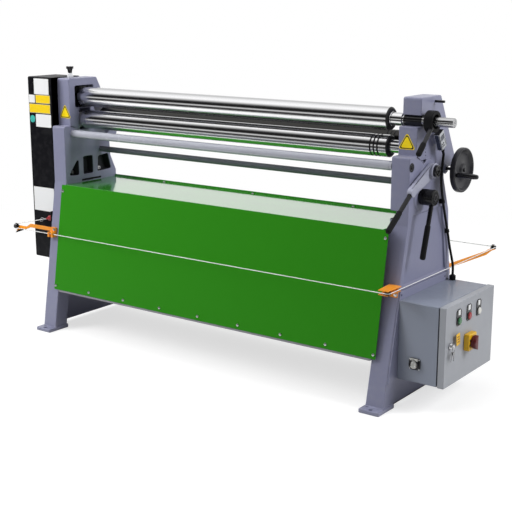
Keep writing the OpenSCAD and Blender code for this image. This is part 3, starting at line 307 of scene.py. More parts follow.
@dataclass(frozen=True)
class Finish:
    """One surface finish: base values and how much of each shared effect it shows."""

    name: str
    colour: Triple
    roughness: float = 0.5
    metallic: float = 0.0
    coat: float = 0.0
    coat_roughness: float = 0.12
    specular: float = 0.5
    coat_ior: float = 1.5
    brushed: float = 0.0
    pattern: Pattern = Pattern.SMOOTH
    scale: float = 300.0
    bump: float = 0.1
    worn_colour: Triple = (0.45, 0.45, 0.46)
    wear: float = 0.0
    dust: float = 0.0
    mottle: float = 0.25
    mottle_scale: float = 3.0

    @cached_property
    def material(self) -> Material:
        """Builds the node material of this finish the first time it is asked for.

        Returns:
            The material.
        """
        mat = bpy.data.materials.new(self.name)
        mat.use_nodes = True
        mat.diffuse_color = (*self.colour, 1.0)
        tree = mat.node_tree
        shader = tree.nodes["Principled BSDF"]
        for label, value in (
            ("Metallic", self.metallic), ("Specular IOR Level", self.specular), ("Coat Weight", self.coat),
            ("Coat Roughness", self.coat_roughness), ("Coat IOR", self.coat_ior),
        ):
            shader.inputs[label].default_value = value
        if self.brushed > 0:
            shader.inputs["Anisotropic"].default_value = self.brushed
            along = tree.nodes.new("ShaderNodeCombineXYZ")
            along.inputs["X"].default_value = 1.0
            tree.links.new(along.outputs[0], shader.inputs["Tangent"])
        colour = self._tone(tree)
        if self.dust > 0:
            dusty = self._group(tree, GROUPS.dust, Amount=self.dust)
            colour = self._mix(tree, dusty.outputs["Mask"], colour, DUST_TONE)
        if self.wear > 0:
            worn = self._group(tree, GROUPS.edge_wear, Amount=self.wear)
            colour = self._mix(tree, worn.outputs["Mask"], colour, self.worn_colour)
        tree.links.new(colour, shader.inputs["Base Color"])
        height = self._relief(tree)
        if height is not None:
            bump = tree.nodes.new("ShaderNodeBump")
            bump.inputs["Strength"].default_value = self.bump
            bump.inputs["Distance"].default_value = RELIEF_DEPTH
            tree.links.new(height, bump.inputs["Height"])
            wire(tree, (bump, "Normal", shader, "Normal"))
        uneven = noise_node(tree, 25.0, 4.0)
        low, high = self.roughness * (1 - ROUGH_SPREAD), min(1.0, self.roughness * (1 + ROUGH_SPREAD))
        spread = map_range(tree, uneven, 0.3, 0.7, low, high)
        tree.links.new(spread, shader.inputs["Roughness"])
        return mat

    def _group(self, tree: Tree, group: ShaderNodeTree, **values: float) -> Node:
        """Places a shared group with its own values.

        Args:
            tree: The node tree.
            group: The shared group.
            values: Values of its inputs by label.

        Returns:
            The group node.
        """
        node = tree.nodes.new("ShaderNodeGroup")
        node.node_tree = group
        for label, value in values.items():
            node.inputs[label].default_value = value
        return node

    def _mix(self, tree: Tree, factor: Socket, first: object, second: object) -> Socket:
        """Mixes two colours.

        Args:
            tree: The node tree.
            factor: Share of the second colour.
            first: A colour or a socket.
            second: A colour or a socket.

        Returns:
            The mixed colour socket.
        """
        node = tree.nodes.new("ShaderNodeMix")
        node.data_type = "RGBA"
        tree.links.new(factor, node.inputs["Factor"])
        for label, value in (("A", first), ("B", second)):
            target = next(s for s in node.inputs if s.name == label and s.type == "RGBA")
            feed(tree, target, value if isinstance(value, Socket) else (*value, 1.0))
        return next(s for s in node.outputs if s.type == "RGBA")

    def _tone(self, tree: Tree) -> Socket:
        """Base colour with its slow change of tone.

        Args:
            tree: The node tree.

        Returns:
            The colour socket.
        """
        slow = self._group(tree, GROUPS.mottle, Scale=self.mottle_scale, Amount=self.mottle)
        deep = tuple(c * DEEP_TONE for c in self.colour)
        return self._mix(tree, slow.outputs["Mask"], self.colour, deep)

    def _relief(self, tree: Tree) -> Socket | None:
        """Adds the fine relief of the finish.

        Args:
            tree: The node tree.

        Returns:
            Its height socket, or None for a smooth finish.
        """
        if self.pattern is Pattern.SMOOTH:
            return None
        group = GROUPS.turning if self.pattern is Pattern.TURNED else GROUPS.grain
        return self._group(tree, group, Scale=self.scale).outputs["Height"]


Coats = Finish | Sequence[Finish]


class Finishes:
    """Every finish of the machine."""

    casting = Finish(
        "casting_paint", (0.228, 0.235, 0.345), 0.38, coat=0.25, coat_roughness=0.3, pattern=PEEL, scale=260.0,
        worn_colour=(0.34, 0.34, 0.37), wear=0.35, dust=0.06, mottle=0.2,
    )
    # Painted highlight: a lighter, glossier copy of the casting paint for the pinch arm and its boss ring, so they read
    # lit against the frame.
    lit_arm_casting = Finish(
        "painted_highlight_arm", (0.36, 0.37, 0.47), 0.30, coat=0.5, coat_roughness=0.2, pattern=PEEL, scale=260.0, mottle=0.15,
    )
    # Painted shade: near-black finish for the faces inside the frame reliefs, standing in for their shade.
    relief_shade_casting = Finish("painted_relief_shade", (0.028, 0.030, 0.035), 0.6, pattern=PEEL, scale=260.0, bump=0.2, specular=0.2)
    tie_light = Finish("tie_bar_paint", (0.40, 0.41, 0.47), 0.25, coat=0.6, pattern=PEEL, scale=260.0, bump=0.15)
    tie_dark = Finish("dark_bar_paint", (0.13, 0.14, 0.165), 0.40, pattern=Pattern.TURNED, scale=500.0)
    green = Finish(
        "green_sheet_paint", (0.024, 0.235, 0.005), 0.40, coat=0.05, coat_roughness=0.2, specular=0.14, pattern=PEEL,
        scale=320.0, bump=0.02, mottle=0.08,
    )
    green_top = Finish(
        "green_top_paint", (0.05, 0.36, 0.03), 0.16, coat=1.0, coat_roughness=0.1, coat_ior=1.9, specular=0.9,
        mottle=0.08,
    )
    rail = Finish("rail_paint", (0.30, 0.30, 0.33), 0.5, pattern=PEEL, scale=260.0)
    cover = Finish(
        "black_sheet_paint", (0.004, 0.004, 0.006), 0.38, specular=0.10, mottle=0.0, worn_colour=(0.08, 0.08, 0.08),
        wear=0.2,
    )
    steel = Finish("ground_steel", (0.86, 0.86, 0.87), 0.17, metallic=1.0, brushed=0.9, mottle=0.10, mottle_scale=4.0)
    # Painted shade: near-black steel for the rear roll, standing in for the shade behind the other rolls and the dark
    # it reflects.
    shaded_rear_steel = Finish(
        "shaded_rear_steel", (0.045, 0.044, 0.042), 0.22, metallic=1.0, brushed=0.8, mottle=0.3, mottle_scale=4.0,
    )
    # Painted shade: a darker copy of the ground steel on the shaft end, dimming its bright reflection.
    shaded_shaft_steel = Finish(
        "shaded_shaft_steel", (0.58, 0.58, 0.59), 0.20, metallic=1.0, brushed=0.9, mottle=0.2, mottle_scale=8.0,
    )
    # Painted shade: near-black steel for roll grooves, eased roll ends and journals inside the left frame, standing in
    # for their shade and dark reflections.
    groove_shade_steel = Finish(
        "painted_shade_steel", (0.05, 0.05, 0.052), 0.40, metallic=0.7, specular=0.2, mottle=0.3, mottle_scale=30.0,
    )
    dull_steel = Finish("milled_steel", (0.30, 0.31, 0.33), 0.42, metallic=0.9, pattern=GRAIN, scale=700.0, bump=0.15)
    block = Finish("bearing_block_paint", (0.36, 0.36, 0.42), 0.36, metallic=0.3, pattern=GRAIN, scale=700.0)
    zinc = Finish(
        "zinc_plate", (0.66, 0.67, 0.69), 0.30, metallic=1.0, pattern=GRAIN, scale=1500.0, mottle=0.4,
        mottle_scale=60.0,
    )
    bright_zinc = Finish("bright_zinc", (0.80, 0.81, 0.84), 0.35, metallic=0.35, mottle=0.1)
    chrome = Finish("bright_chrome", (0.80, 0.80, 0.81), 0.10, metallic=1.0)
    key_nickel = Finish("key_nickel", (0.34, 0.34, 0.35), 0.22, metallic=1.0, mottle=0.1)
    black_paint = Finish(
        "black_enamel", (0.008, 0.008, 0.009), 0.22, coat=0.15, coat_roughness=0.10, specular=0.22, pattern=PEEL,
        scale=400.0, bump=0.12,
    )
    charcoal = Finish("charcoal_enamel", (0.020, 0.020, 0.024), 0.32, coat=0.10, specular=0.3, pattern=PEEL, bump=0.2)
    phenolic = Finish("black_moulding", (0.005, 0.005, 0.006), 0.20, coat=0.3)
    matt_black = Finish(
        "matt_black_plastic", (0.009, 0.009, 0.010), 0.50, specular=0.10, pattern=GRAIN, scale=1600.0, bump=0.3,
    )
    rubber = Finish("cable_rubber", (0.006, 0.006, 0.006), 0.55, specular=0.15, pattern=GRAIN, scale=1200.0, bump=0.2)
    cabinet = Finish("cabinet_paint", (0.235, 0.262, 0.33), 0.40, coat=0.2, pattern=GRAIN, scale=650.0, mottle=0.1)
    door = Finish("door_paint", (0.335, 0.35, 0.385), 0.38, coat=0.1, pattern=GRAIN, scale=650.0, mottle=0.1)
    orange = Finish("orange_paint", (0.85, 0.30, 0.018), 0.40, coat=0.2, pattern=PEEL, bump=0.15, wear=0.2)
    yellow = Finish("yellow_moulding", (0.80, 0.46, 0.010), 0.32, coat=0.2, mottle=0.1)
    dark_red = Finish("dark_red_moulding", (0.11, 0.006, 0.008), 0.30, coat=0.1)
    red = Finish("red_moulding", (0.30, 0.010, 0.016), 0.28, coat=0.3)
    green_cap = Finish("green_button_cap", (0.02, 0.15, 0.05), 0.25, coat=0.4)
    white_cap = Finish("white_button_cap", (0.72, 0.72, 0.68), 0.25, coat=0.4, mottle=0.05)
    white_label = Finish("white_plate", (0.78, 0.79, 0.80), 0.45, mottle=0.05)
    yellow_label = Finish("yellow_plate", (0.86, 0.60, 0.005), 0.42, mottle=0.05)
    triangle_yellow = Finish("triangle_yellow", (0.96, 0.72, 0.004), 0.42, mottle=0.05)
    teal_label = Finish("teal_plate", (0.04, 0.42, 0.36), 0.40, mottle=0.05)
    black_label = Finish("black_line", (0.02, 0.02, 0.02), 0.5, mottle=0.05)
    glass_navy = Finish("display_window", (0.012, 0.02, 0.045), 0.15, coat=0.5)
    gasket = Finish("door_gasket", (0.01, 0.01, 0.01), 0.8)
    # Painted shade: dark finish for the inner and downward faces of the sheets, standing in for the shade there.
    inner_shade_sheet = Finish("painted_inner_shade", (0.045, 0.05, 0.048), 0.6, pattern=PEEL)
    plate_rim = Finish("plate_rim", (0.5, 0.5, 0.48), 0.5)
    silver_plate = Finish("silver_face", (0.55, 0.57, 0.60), 0.35, metallic=0.6, mottle=0.05)
    light_plastic = Finish("light_grey_plastic", (0.55, 0.55, 0.52), 0.5, pattern=GRAIN, scale=1200.0)
    rope = Finish("coated_wire_rope", (0.88, 0.88, 0.88), 0.38, metallic=0.1, mottle=0.05)


# ---------------------------------------------------------------- mesh making


def mm(*values: float) -> Vector:
    """A vector given in millimetres."""
    return Vector(values) * MM


def mmz(height: float) -> Matrix:
    """A shift along Z in millimetres."""
    return Matrix.Translation(mm(0, 0, height))


def arc(radius: float, degrees: Iterable[float], squash: float = 1.0) -> list[Pair]:
    """Points on a circle, or on an oval squashed across, at angles in degrees."""
    turns = [math.radians(a) for a in degrees]
    return [(radius * math.cos(a), radius * squash * math.sin(a)) for a in turns]


def hexagon(radius: float) -> list[Pair]:
    """Outline of a hexagon."""
    return arc(radius, range(0, 360, 60))


def spline_point(a: Vector, b: Vector, c: Vector, d: Vector, t: float) -> Vector:
    """A point between b and c on the smooth line through four points."""
    return 0.5 * (2 * b + (c - a) * t + (2 * a - 5 * b + 4 * c - d) * t * t + (3 * b - a - 3 * c + d) * t ** 3)


def make_object(name: str, mesh: Mesh, finish: Coats, smooth: float = SMOOTH_ANGLE) -> Object:
    """Puts a mesh into the scene as one object.

    Args:
        name: Piece name.
        mesh: Its mesh, in the machine's frame.
        finish: Its finish or finishes, in slot order.
        smooth: Angle in degrees above which an edge stays sharp.

    Returns:
        The object, at the origin.
    """
    obj = bpy.data.objects.new(name, mesh)
    bpy.context.scene.collection.objects.link(obj)
    for one in finish if isinstance(finish, (list, tuple)) else [finish]:
        mesh.materials.append(one.material)
    mesh.shade_smooth()
    mesh.set_sharp_from_angle(angle=math.radians(smooth))
    return obj


def from_bmesh(name: str, bm: BMesh, finish: Coats, smooth: float = SMOOTH_ANGLE) -> Object:
    """Turns a bmesh into an object with its faces outwards.

    Args:
        name: Piece name.
        bm: The shape, which is freed.
        finish: Its finish or finishes, in slot order.
        smooth: Angle in degrees above which an edge stays sharp.

    Returns:
        The object, at the origin.
    """
    bmesh.ops.remove_doubles(bm, verts=bm.verts, dist=TINY)
    bmesh.ops.recalc_face_normals(bm, faces=bm.faces)
    mesh = bpy.data.meshes.new(name)
    bm.to_mesh(mesh)
    bm.free()
    return make_object(name, mesh, finish, smooth)


def axis_frame(origin: Point, direction: Point) -> Matrix:
    """A matrix whose Z axis runs along direction from origin, in metres.

    Args:
        origin: Origin of the frame in metres.
        direction: Direction of its Z axis.

    Returns:
        The frame.
    """
    z = Vector(direction).normalized()
    turn = z.to_track_quat("Z", "Y").to_matrix().to_4x4()
    return Matrix.Translation(Vector(origin)) @ turn


def add_lathe(bm: BMesh, profile: Profile, where: Matrix, segments: int = 48, slot: int = 0) -> None:
    """Turns a profile about the Z axis of a frame.

    Args:
        bm: The bmesh to add to.
        profile: Pairs of height and radius in millimetres, from one end to the other.
        where: Frame of the axis.
        segments: Number of flats around.
        slot: Material slot of the faces.
    """
    rings = []
    for height, radius in profile:
        turns = [math.tau * k / segments for k in range(segments if radius >= TINY else 1)]
        rings.append([bm.verts.new(where @ mm(radius * math.cos(a), radius * math.sin(a), height)) for a in turns])
    for a, b in zip(rings, rings[1:]):
        if len(a) == len(b) == 1:
            continue
        for k in range(segments):
            n = (k + 1) % segments
            if len(a) == 1:
                corners = (a[0], b[n], b[k])
            elif len(b) == 1:
                corners = (a[k], a[n], b[0])
            else:
                corners = (a[k], a[n], b[n], b[k])
            bm.faces.new(corners).material_index = slot
    for ring in (rings[0], rings[-1]):
        if len(ring) > 1:
            bm.faces.new(ring).material_index = slot


def eased(profile: Profile, edge: float = 1.0, steps: int = 3) -> list[Pair]:
    """Rounds the corners of a turned profile.

    Args:
        profile: Pairs of height and radius.
        edge: Radius of the rounding in millimetres.
        steps: Number of points added at each corner.

    Returns:
        The rounded profile.
    """
    points = [Vector((h, r)) for h, r in profile]
    result = [profile[0]]
    for before, here, after in zip(points, points[1:], points[2:]):
        back, on = before - here, after - here
        if back.length < TINY or on.length < TINY or abs(back.normalized().dot(on.normalized())) > STRAIGHT:
            result.append(tuple(here))
            continue
        cut = min(edge, back.length * MOST_OF_SIDE, on.length * MOST_OF_SIDE)
        a, b = here + back.normalized() * cut, here + on.normalized() * cut
        for i in range(steps + 1):
            t = i / steps
            result.append(tuple(a * (1 - t) ** 2 + here * 2 * t * (1 - t) + b * t ** 2))
    result.append(profile[-1])
    return [tuple(p) for p in result]


def add_box(
    bm: BMesh, low: Point, high: Point, edge: float = 1.0, segments: int = 2, slot: int = 0,
    turn: Matrix | None = None,
) -> None:
    """Adds a box with rounded edges.

    Args:
        bm: The bmesh to add to.
        low: Lowest corner in millimetres.
        high: Highest corner in millimetres.
        edge: Radius of the edges in millimetres.
        segments: Steps of the rounding.
        slot: Material slot.
        turn: A matrix applied to the finished box.
    """
    part = bmesh.new()
    bmesh.ops.create_cube(part, size=1.0)
    size = [h - l for l, h in zip(low, high)]
    for v in part.verts:
        v.co = Vector([(l + (c + 0.5) * s) * MM for l, c, s in zip(low, v.co, size)])
    offset = min(edge, min(size) * MOST_OF_SIDE) * MM
    bmesh.ops.bevel(part, geom=list(part.edges), offset=offset, segments=segments, profile=0.5, affect="EDGES")
    for face in part.faces:
        face.material_index = slot
    if turn is not None:
        bmesh.ops.transform(part, matrix=turn, verts=part.verts)
    merge_into(bm, part)


def merge_into(bm: BMesh, part: BMesh) -> None:
    """Moves the geometry of one bmesh into another.

    Args:
        bm: The bmesh that takes the geometry.
        part: The bmesh that gives it, which is freed.
    """
    held = bpy.data.meshes.new("held")
    part.to_mesh(held)
    part.free()
    bm.from_mesh(held)
    bpy.data.meshes.remove(held)


def add_prism(
    bm: BMesh, outline: Sequence[Point], where: Matrix, height: float, edge: float = 0.0, slot: int = 0,
) -> None:
    """Extrudes a closed outline along the Z axis of a frame.

    Args:
        bm: The bmesh to add to.
        outline: Points in millimetres in the frame's X and Y.
        where: The frame.
        height: Length of the extrusion in millimetres.
        edge: Radius of the two rims in millimetres.
        slot: Material slot.
    """
    part = bmesh.new()
    base = [part.verts.new(mm(x, y, 0)) for x, y in outline]
    face = part.faces.new(base)
    grown = bmesh.ops.extrude_face_region(part, geom=[face])
    moved = [g for g in grown["geom"] if isinstance(g, bmesh.types.BMVert)]
    bmesh.ops.translate(part, verts=moved, vec=mm(0, 0, height))
    bmesh.ops.recalc_face_normals(part, faces=part.faces)
    if edge > 0:
        rims = [e for e in part.edges if abs(e.verts[0].co.z - e.verts[1].co.z) < SAME_PLACE]
        bmesh.ops.bevel(part, geom=rims, offset=edge * MM, segments=2, profile=0.5, affect="EDGES")
    for f in part.faces:
        f.material_index = slot
    bmesh.ops.transform(part, matrix=where, verts=part.verts)
    merge_into(bm, part)


def rounded_outline(width: float, height: float, radius: float, steps: int = 6) -> list[Pair]:
    """Outline of a rectangle with rounded corners, in millimetres.

    Args:
        width: Width in all.
        height: Height in all.
        radius: Radius of the corners.
        steps: Flats in each corner.

    Returns:
        Points around the origin.
    """
    w, h = width / 2 - radius, height / 2 - radius
    points = []
    for quarter, (sx, sy) in enumerate(((1, 1), (-1, 1), (-1, -1), (1, -1))):
        for i in range(steps + 1):
            angle = math.radians(90 * quarter + 90 * i / steps)
            points.append((sx * w + radius * math.cos(angle), sy * h + radius * math.sin(angle)))
    return points


def facing_x(x: float, y: float, z: float) -> Matrix:
    """A frame whose X and Y lie along Y and Z, and whose Z points along X, at a place in millimetres."""
    return Matrix.Translation(mm(x, y, z)) @ Matrix(((0, 0, 1, 0), (1, 0, 0, 0), (0, 1, 0, 0), (0, 0, 0, 1)))


def facing_front(x: float, y: float, z: float) -> Matrix:
    """A frame whose X lies along X, whose Y runs up and whose Z points to the front, at a place in millimetres."""
    return Matrix.Translation(mm(x, y, z)) @ Matrix(((1, 0, 0, 0), (0, 0, -1, 0), (0, 1, 0, 0), (0, 0, 0, 1)))


def merged_copy(node: str, finish: Coats, edge: float, weld: float = 0.02) -> Object:
    """A welded copy of a CAD node with rounded edges.

    Args:
        node: Name of the CAD node.
        finish: Its finish.
        edge: Radius of the edges in millimetres.
        weld: Distance in millimetres within which points are merged.

    Returns:
        The new object, which is not yet placed on a body.
    """
    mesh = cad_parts[node].data.copy()
    bm = bmesh.new()
    bm.from_mesh(mesh)
    bmesh.ops.remove_doubles(bm, verts=bm.verts, dist=weld * MM)
    bmesh.ops.dissolve_limit(bm, angle_limit=math.radians(FLAT_ANGLE), verts=bm.verts, edges=bm.edges)
    bmesh.ops.triangulate(bm, faces=[f for f in bm.faces if len(f.verts) > 4])
    bm.to_mesh(mesh)
    bm.free()
    mesh.materials.clear()
    obj = make_object(f"{node}_finished", mesh, finish)
    bevel = obj.modifiers.new("edges", "BEVEL")
    bevel.width = edge * MM
    bevel.segments = BEVEL_STEPS
    bevel.limit_method = "ANGLE"
    bevel.angle_limit = math.radians(BEVEL_ANGLE)
    bevel.miter_outer = "MITER_ARC"
    bevel.use_clamp_overlap = False
    bevel.loop_slide = False
    level = obj.modifiers.new("level", "WEIGHTED_NORMAL")
    level.weight = FACE_WEIGHT
    level.keep_sharp = True
    return obj


def settle(obj: Object) -> Object:
    """Turns the modified shape of an object into its plain mesh.

    Args:
        obj: An object with modifiers.

    Returns:
        The same object with its shape as a plain mesh.
    """
    bpy.context.view_layer.update()
    evaluated = obj.evaluated_get(bpy.context.evaluated_depsgraph_get())
    mesh = bpy.data.meshes.new_from_object(evaluated)
    obj.modifiers.clear()
    obj.data = mesh
    return obj


def finish_copy(node: str, body: Body, finish: Coats, edge: float) -> None:
    """Puts a finished copy of a CAD node, its edges rounded, on its body."""
    place(settle(merged_copy(node, finish, edge)), body, node)


def place(obj: Object, body: Body, *nodes: str, slot: str | None = None) -> Object:
    """Puts a piece on its body.

    Args:
        obj: The finished piece.
        body: The body it moves with.
        nodes: CAD nodes that it stands for.
        slot: CAD node that the piece belongs with, if it stands for no node; not used.

    Returns:
        The piece.
    """
    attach(obj, body.value)
    if nodes:
        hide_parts(*nodes)
    log.info("%s on %s", obj.name, body.value)
    return obj


# ---------------------------------------------------------------- geometry nodes


def geometry_tree(name: str, sockets: dict[str, str], result: str) -> tuple[GeometryNodeTree, Node, Node]:
    """Starts a Geometry Nodes tree that ends in Realize Instances and Set Material.

    Args:
        name: Name of the tree.
        sockets: Kinds of its inputs by label. The last one is the finish.
        result: Label of its output.

    Returns:
        The tree, its input node and the Realize Instances node that takes the finished shape.
    """
    tree = bpy.data.node_groups.new(name, "GeometryNodeTree")
    for label, kind in sockets.items():
        tree.interface.new_socket(label, in_out="INPUT", socket_type=f"NodeSocket{kind}")
    tree.interface.new_socket(result, in_out="OUTPUT", socket_type="NodeSocketGeometry")
    given, end = tree.nodes.new("NodeGroupInput"), tree.nodes.new("NodeGroupOutput")
    real, paint = tree.nodes.new("GeometryNodeRealizeInstances"), tree.nodes.new("GeometryNodeSetMaterial")
    wire(
        tree, (real, "Geometry", paint, "Geometry"), (given, "Finish", paint, "Material"),
        (paint, "Geometry", end, result),
    )
    return tree, given, real


def grow(name: str, mesh: Mesh, tree: GeometryNodeTree, values: dict[str, object]) -> Object:
    """Runs a tree on a mesh and keeps the result as a plain mesh.

    Args:
        name: Piece name.
        mesh: The points or the route that the tree starts from.
        tree: The Geometry Nodes tree.
        values: Values of its inputs by label.

    Returns:
        The object, at the origin.
    """
    obj = bpy.data.objects.new(name, mesh)
    bpy.context.scene.collection.objects.link(obj)
    modifier = obj.modifiers.new("nodes", "NODES")
    modifier.node_group = tree
    ids = {s.name: s.identifier for s in tree.interface.items_tree if s.in_out == "INPUT"}
    for label, value in values.items():
        modifier[ids[label]] = value
    return settle(obj)


# ---------------------------------------------------------------- fasteners


class Head(Enum):
    """Kinds of screw heads."""

    HEX = "hex"
    SOCKET = "socket"
    PAN = "pan"
    DOME = "dome"


def head_mesh(kind: Head) -> Object:
    """Makes one screw head of 10 mm across, standing on the XY plane, as a pattern for instancing.

    Args:
        kind: Kind of head.

    Returns:
        The pattern object.
    """
    bm = bmesh.new()
    up = Matrix.Identity(4)
    if kind is Head.HEX:
        add_lathe(bm, [(0, 5.9), (0.9, 5.9), (1.0, 5.6)], up, 20)
        add_prism(bm, hexagon(4.6), mmz(0.9), 3.3, 0.35)
    elif kind is Head.SOCKET:
        add_lathe(bm, [(0, 5.0), (4.4, 5.0), (5.0, 4.5), (5.0, 2.7), (2.4, 2.7), (2.4, 0)], up, 24)
    elif kind is Head.PAN:
        add_lathe(bm, [(0, 5.0), (1.0, 5.0), (2.0, 4.5), (2.7, 3.3), (3.0, 1.6), (2.0, 1.2), (2.0, 0)], up, 20)
    else:
        add_lathe(bm, [(0, 5.0), (0.8, 4.95), (1.9, 4.1), (2.7, 2.4), (2.9, 0)], up, 20)
    return from_bmesh(f"{kind.value}_pattern", bm, Finishes.zinc, HEAD_ANGLE)


@dataclass
class ScrewRow:
    """Screws of one kind placed by Geometry Nodes on points that each carry a direction."""

    name: str
    kind: Head
    finish: Finish
    body: Body
    slot: str
    size: float = 10.0
    seed: int = 3
    points: list[tuple[Point, Point]] = field(default_factory=list)

    def tree(self) -> GeometryNodeTree:
        """Builds the node tree.

        Returns:
            A tree with inputs for the head, its size, the seed of its turn and its material.
        """
        kinds = {"Points": "Geometry", "Head": "Object", "Size": "Float", "Seed": "Int", "Finish": "Material"}
        tree, given, real = geometry_tree(f"{self.name}_tree", kinds, "Screws")
        n = tree.nodes
        info = n.new("GeometryNodeObjectInfo")
        info.inputs["As Instance"].default_value = True
        aim = n.new("GeometryNodeInputNamedAttribute")
        aim.data_type = "FLOAT_VECTOR"
        aim.inputs["Name"].default_value = "aim"
        align = n.new("FunctionNodeAlignRotationToVector")
        align.axis = "Z"
        spin = n.new("FunctionNodeRandomValue")
        spin.inputs[3].default_value = math.tau
        twist = n.new("FunctionNodeAxisAngleToRotation")
        twist.inputs["Axis"].default_value = Z_AXIS
        both = n.new("FunctionNodeRotateRotation")
        both.rotation_space = "LOCAL"
        copies = n.new("GeometryNodeInstanceOnPoints")
        wire(
            tree, (given, "Head", info, "Object"), (aim, "Attribute", align, "Vector"), (given, "Seed", spin, "Seed"),
            (spin, 1, twist, "Angle"), (align, "Rotation", both, "Rotation"), (twist, "Rotation", both, "Rotate By"),
            (given, "Points", copies, "Points"), (info, "Geometry", copies, "Instance"),
            (both, "Rotation", copies, "Rotation"), (given, "Size", copies, "Scale"),
            (copies, "Instances", real, "Geometry"),
        )
        return tree

    def build(self) -> Object:
        """Makes the screws as one plain mesh on their body.

        Returns:
            The piece.
        """
        mesh = bpy.data.meshes.new(self.name)
        mesh.from_pydata([mm(*p) for p, _ in self.points], [], [])
        aims = mesh.attributes.new("aim", "FLOAT_VECTOR", "POINT")
        for i, (_, direction) in enumerate(self.points):
            aims.data[i].vector = Vector(direction).normalized()
        pattern = head_mesh(self.kind)
        values = {"Head": pattern, "Size": self.size / 10.0, "Seed": self.seed, "Finish": self.finish.material}
        obj = grow(self.name, mesh, self.tree(), values)
        bpy.data.objects.remove(pattern)
        obj.data.shade_smooth()
        obj.data.set_sharp_from_angle(angle=math.radians(HEAD_ANGLE))
        return place(obj, self.body, slot=self.slot)


# ---------------------------------------------------------------- swept pieces


@dataclass
class Sweep:
    """A rope or cable swept along a route by Geometry Nodes, smooth or laid up of strands."""

    name: str
    route: Sequence[Point]
    finish: Finish
    radius: float = 2.5
    strands: int = 0
    lay: float = 24.0
    step: float = 3.0
    sides: int = 16
    groove: float = 0.14

    def section(self) -> Object:
        """Makes the outline of the cross-section, one metre in radius.

        Returns:
            A closed ring of edges as an object.
        """
        mesh = bpy.data.meshes.new("section")
        ring = []
        for k in range(self.sides):
            angle = math.tau * k / self.sides
            lobe = 1.0 if not self.strands else 1.0 - self.groove * (1.0 - abs(math.cos(angle * self.strands / 2)))
            ring.append((lobe * math.cos(angle), lobe * math.sin(angle), 0.0))
        mesh.from_pydata(ring, [(k, (k + 1) % self.sides) for k in range(self.sides)], [])
        obj = bpy.data.objects.new("section", mesh)
        bpy.context.scene.collection.objects.link(obj)
        return obj

    def tree(self) -> GeometryNodeTree:
        """Builds the node tree.

        Returns:
            A tree with inputs for the section, its radius, the twist, the step and the material.
        """
        kinds = {
            "Route": "Geometry", "Section": "Object", "Radius": "Float", "Twist": "Float", "Step": "Float",
            "Finish": "Material",
        }
        tree, given, real = geometry_tree(f"{self.name}_tree", kinds, "Swept")
        n = tree.nodes
        line, outline = n.new("GeometryNodeMeshToCurve"), n.new("GeometryNodeMeshToCurve")
        info = n.new("GeometryNodeObjectInfo")
        even = n.new("GeometryNodeResampleCurve")
        even.mode = "LENGTH"
        along = n.new("GeometryNodeSplineParameter")
        turn = n.new("ShaderNodeMath")
        turn.operation = "MULTIPLY"
        tilt = n.new("GeometryNodeSetCurveTilt")
        size = n.new("GeometryNodeTransform")
        scale = n.new("ShaderNodeCombineXYZ")
        skin = n.new("GeometryNodeCurveToMesh")
        skin.inputs["Fill Caps"].default_value = True
        wire(
            tree, (given, "Route", line, "Mesh"), (line, "Curve", even, "Curve"), (given, "Step", even, "Length"),
            (along, "Length", turn, 0), (given, "Twist", turn, 1), (even, "Curve", tilt, "Curve"),
            (turn, 0, tilt, "Tilt"), (given, "Section", info, "Object"), (info, "Geometry", outline, "Mesh"),
            *((given, "Radius", scale, label) for label in "XYZ"), (outline, "Curve", size, "Geometry"),
            (scale, 0, size, "Scale"), (tilt, "Curve", skin, "Curve"), (size, "Geometry", skin, "Profile Curve"),
            (skin, "Mesh", real, "Geometry"),
        )
        return tree

    def build(self) -> Object:
        """Makes the swept piece.

        Returns:
            The piece as a plain mesh, not yet on a body.
        """
        mesh = bpy.data.meshes.new(self.name)
        mesh.from_pydata([mm(*p) for p in self.route], [(i, i + 1) for i in range(len(self.route) - 1)], [])
        section = self.section()
        obj = grow(self.name, mesh, self.tree(), {
            "Section": section, "Radius": self.radius * MM,
            "Twist": math.tau / (self.lay * MM) if self.strands else 0.0,
            "Step": self.step * MM, "Finish": self.finish.material,
        })
        bpy.data.objects.remove(section)
        bm = bmesh.new()
        bm.from_mesh(obj.data)
        bmesh.ops.remove_doubles(bm, verts=bm.verts, dist=SAME_PLACE)
        bmesh.ops.recalc_face_normals(bm, faces=bm.faces)
        bm.to_mesh(obj.data)
        bm.free()
        obj.data.shade_smooth()
        obj.data.set_sharp_from_angle(angle=math.radians(SWEPT_ANGLE))
        return obj


def turned(name: str, profile: Profile, origin: Point, direction: Point, finish: Finish, segments: int = 48) -> Object:
    """Makes a turned piece about any axis.

    Args:
        name: Piece name.
        profile: Pairs of height and radius in millimetres.
        origin: Origin of the axis in millimetres.
        direction: Direction of the axis.
        finish: Its finish.
        segments: Number of flats around.

    Returns:
        The piece, not yet on a body.
    """
    bm = bmesh.new()
    add_lathe(bm, profile, axis_frame(mm(*origin), direction), segments)
    return from_bmesh(name, bm, finish)


def maker(add: Callable[..., None]) -> Callable[..., Maker]:
    """Turns a function that adds a shape to a mesh into one that keeps the call for later."""
    return lambda *shape: lambda bm: add(bm, *shape)


box, prism, lathe = maker(add_box), maker(add_prism), maker(add_lathe)


def solid(name: str, finish: Coats, *makers: Maker) -> Object:
    """Makes a piece of several closed shapes in one mesh.

    Args:
        name: Piece name.
        finish: Its finish or finishes, in slot order.
        makers: What adds each shape.

    Returns:
        The piece, not yet on a body.
    """
    bm = bmesh.new()
    for make in makers:
        make(bm)
    return from_bmesh(name, bm, finish)


# ---------------------------------------------------------------- end frames


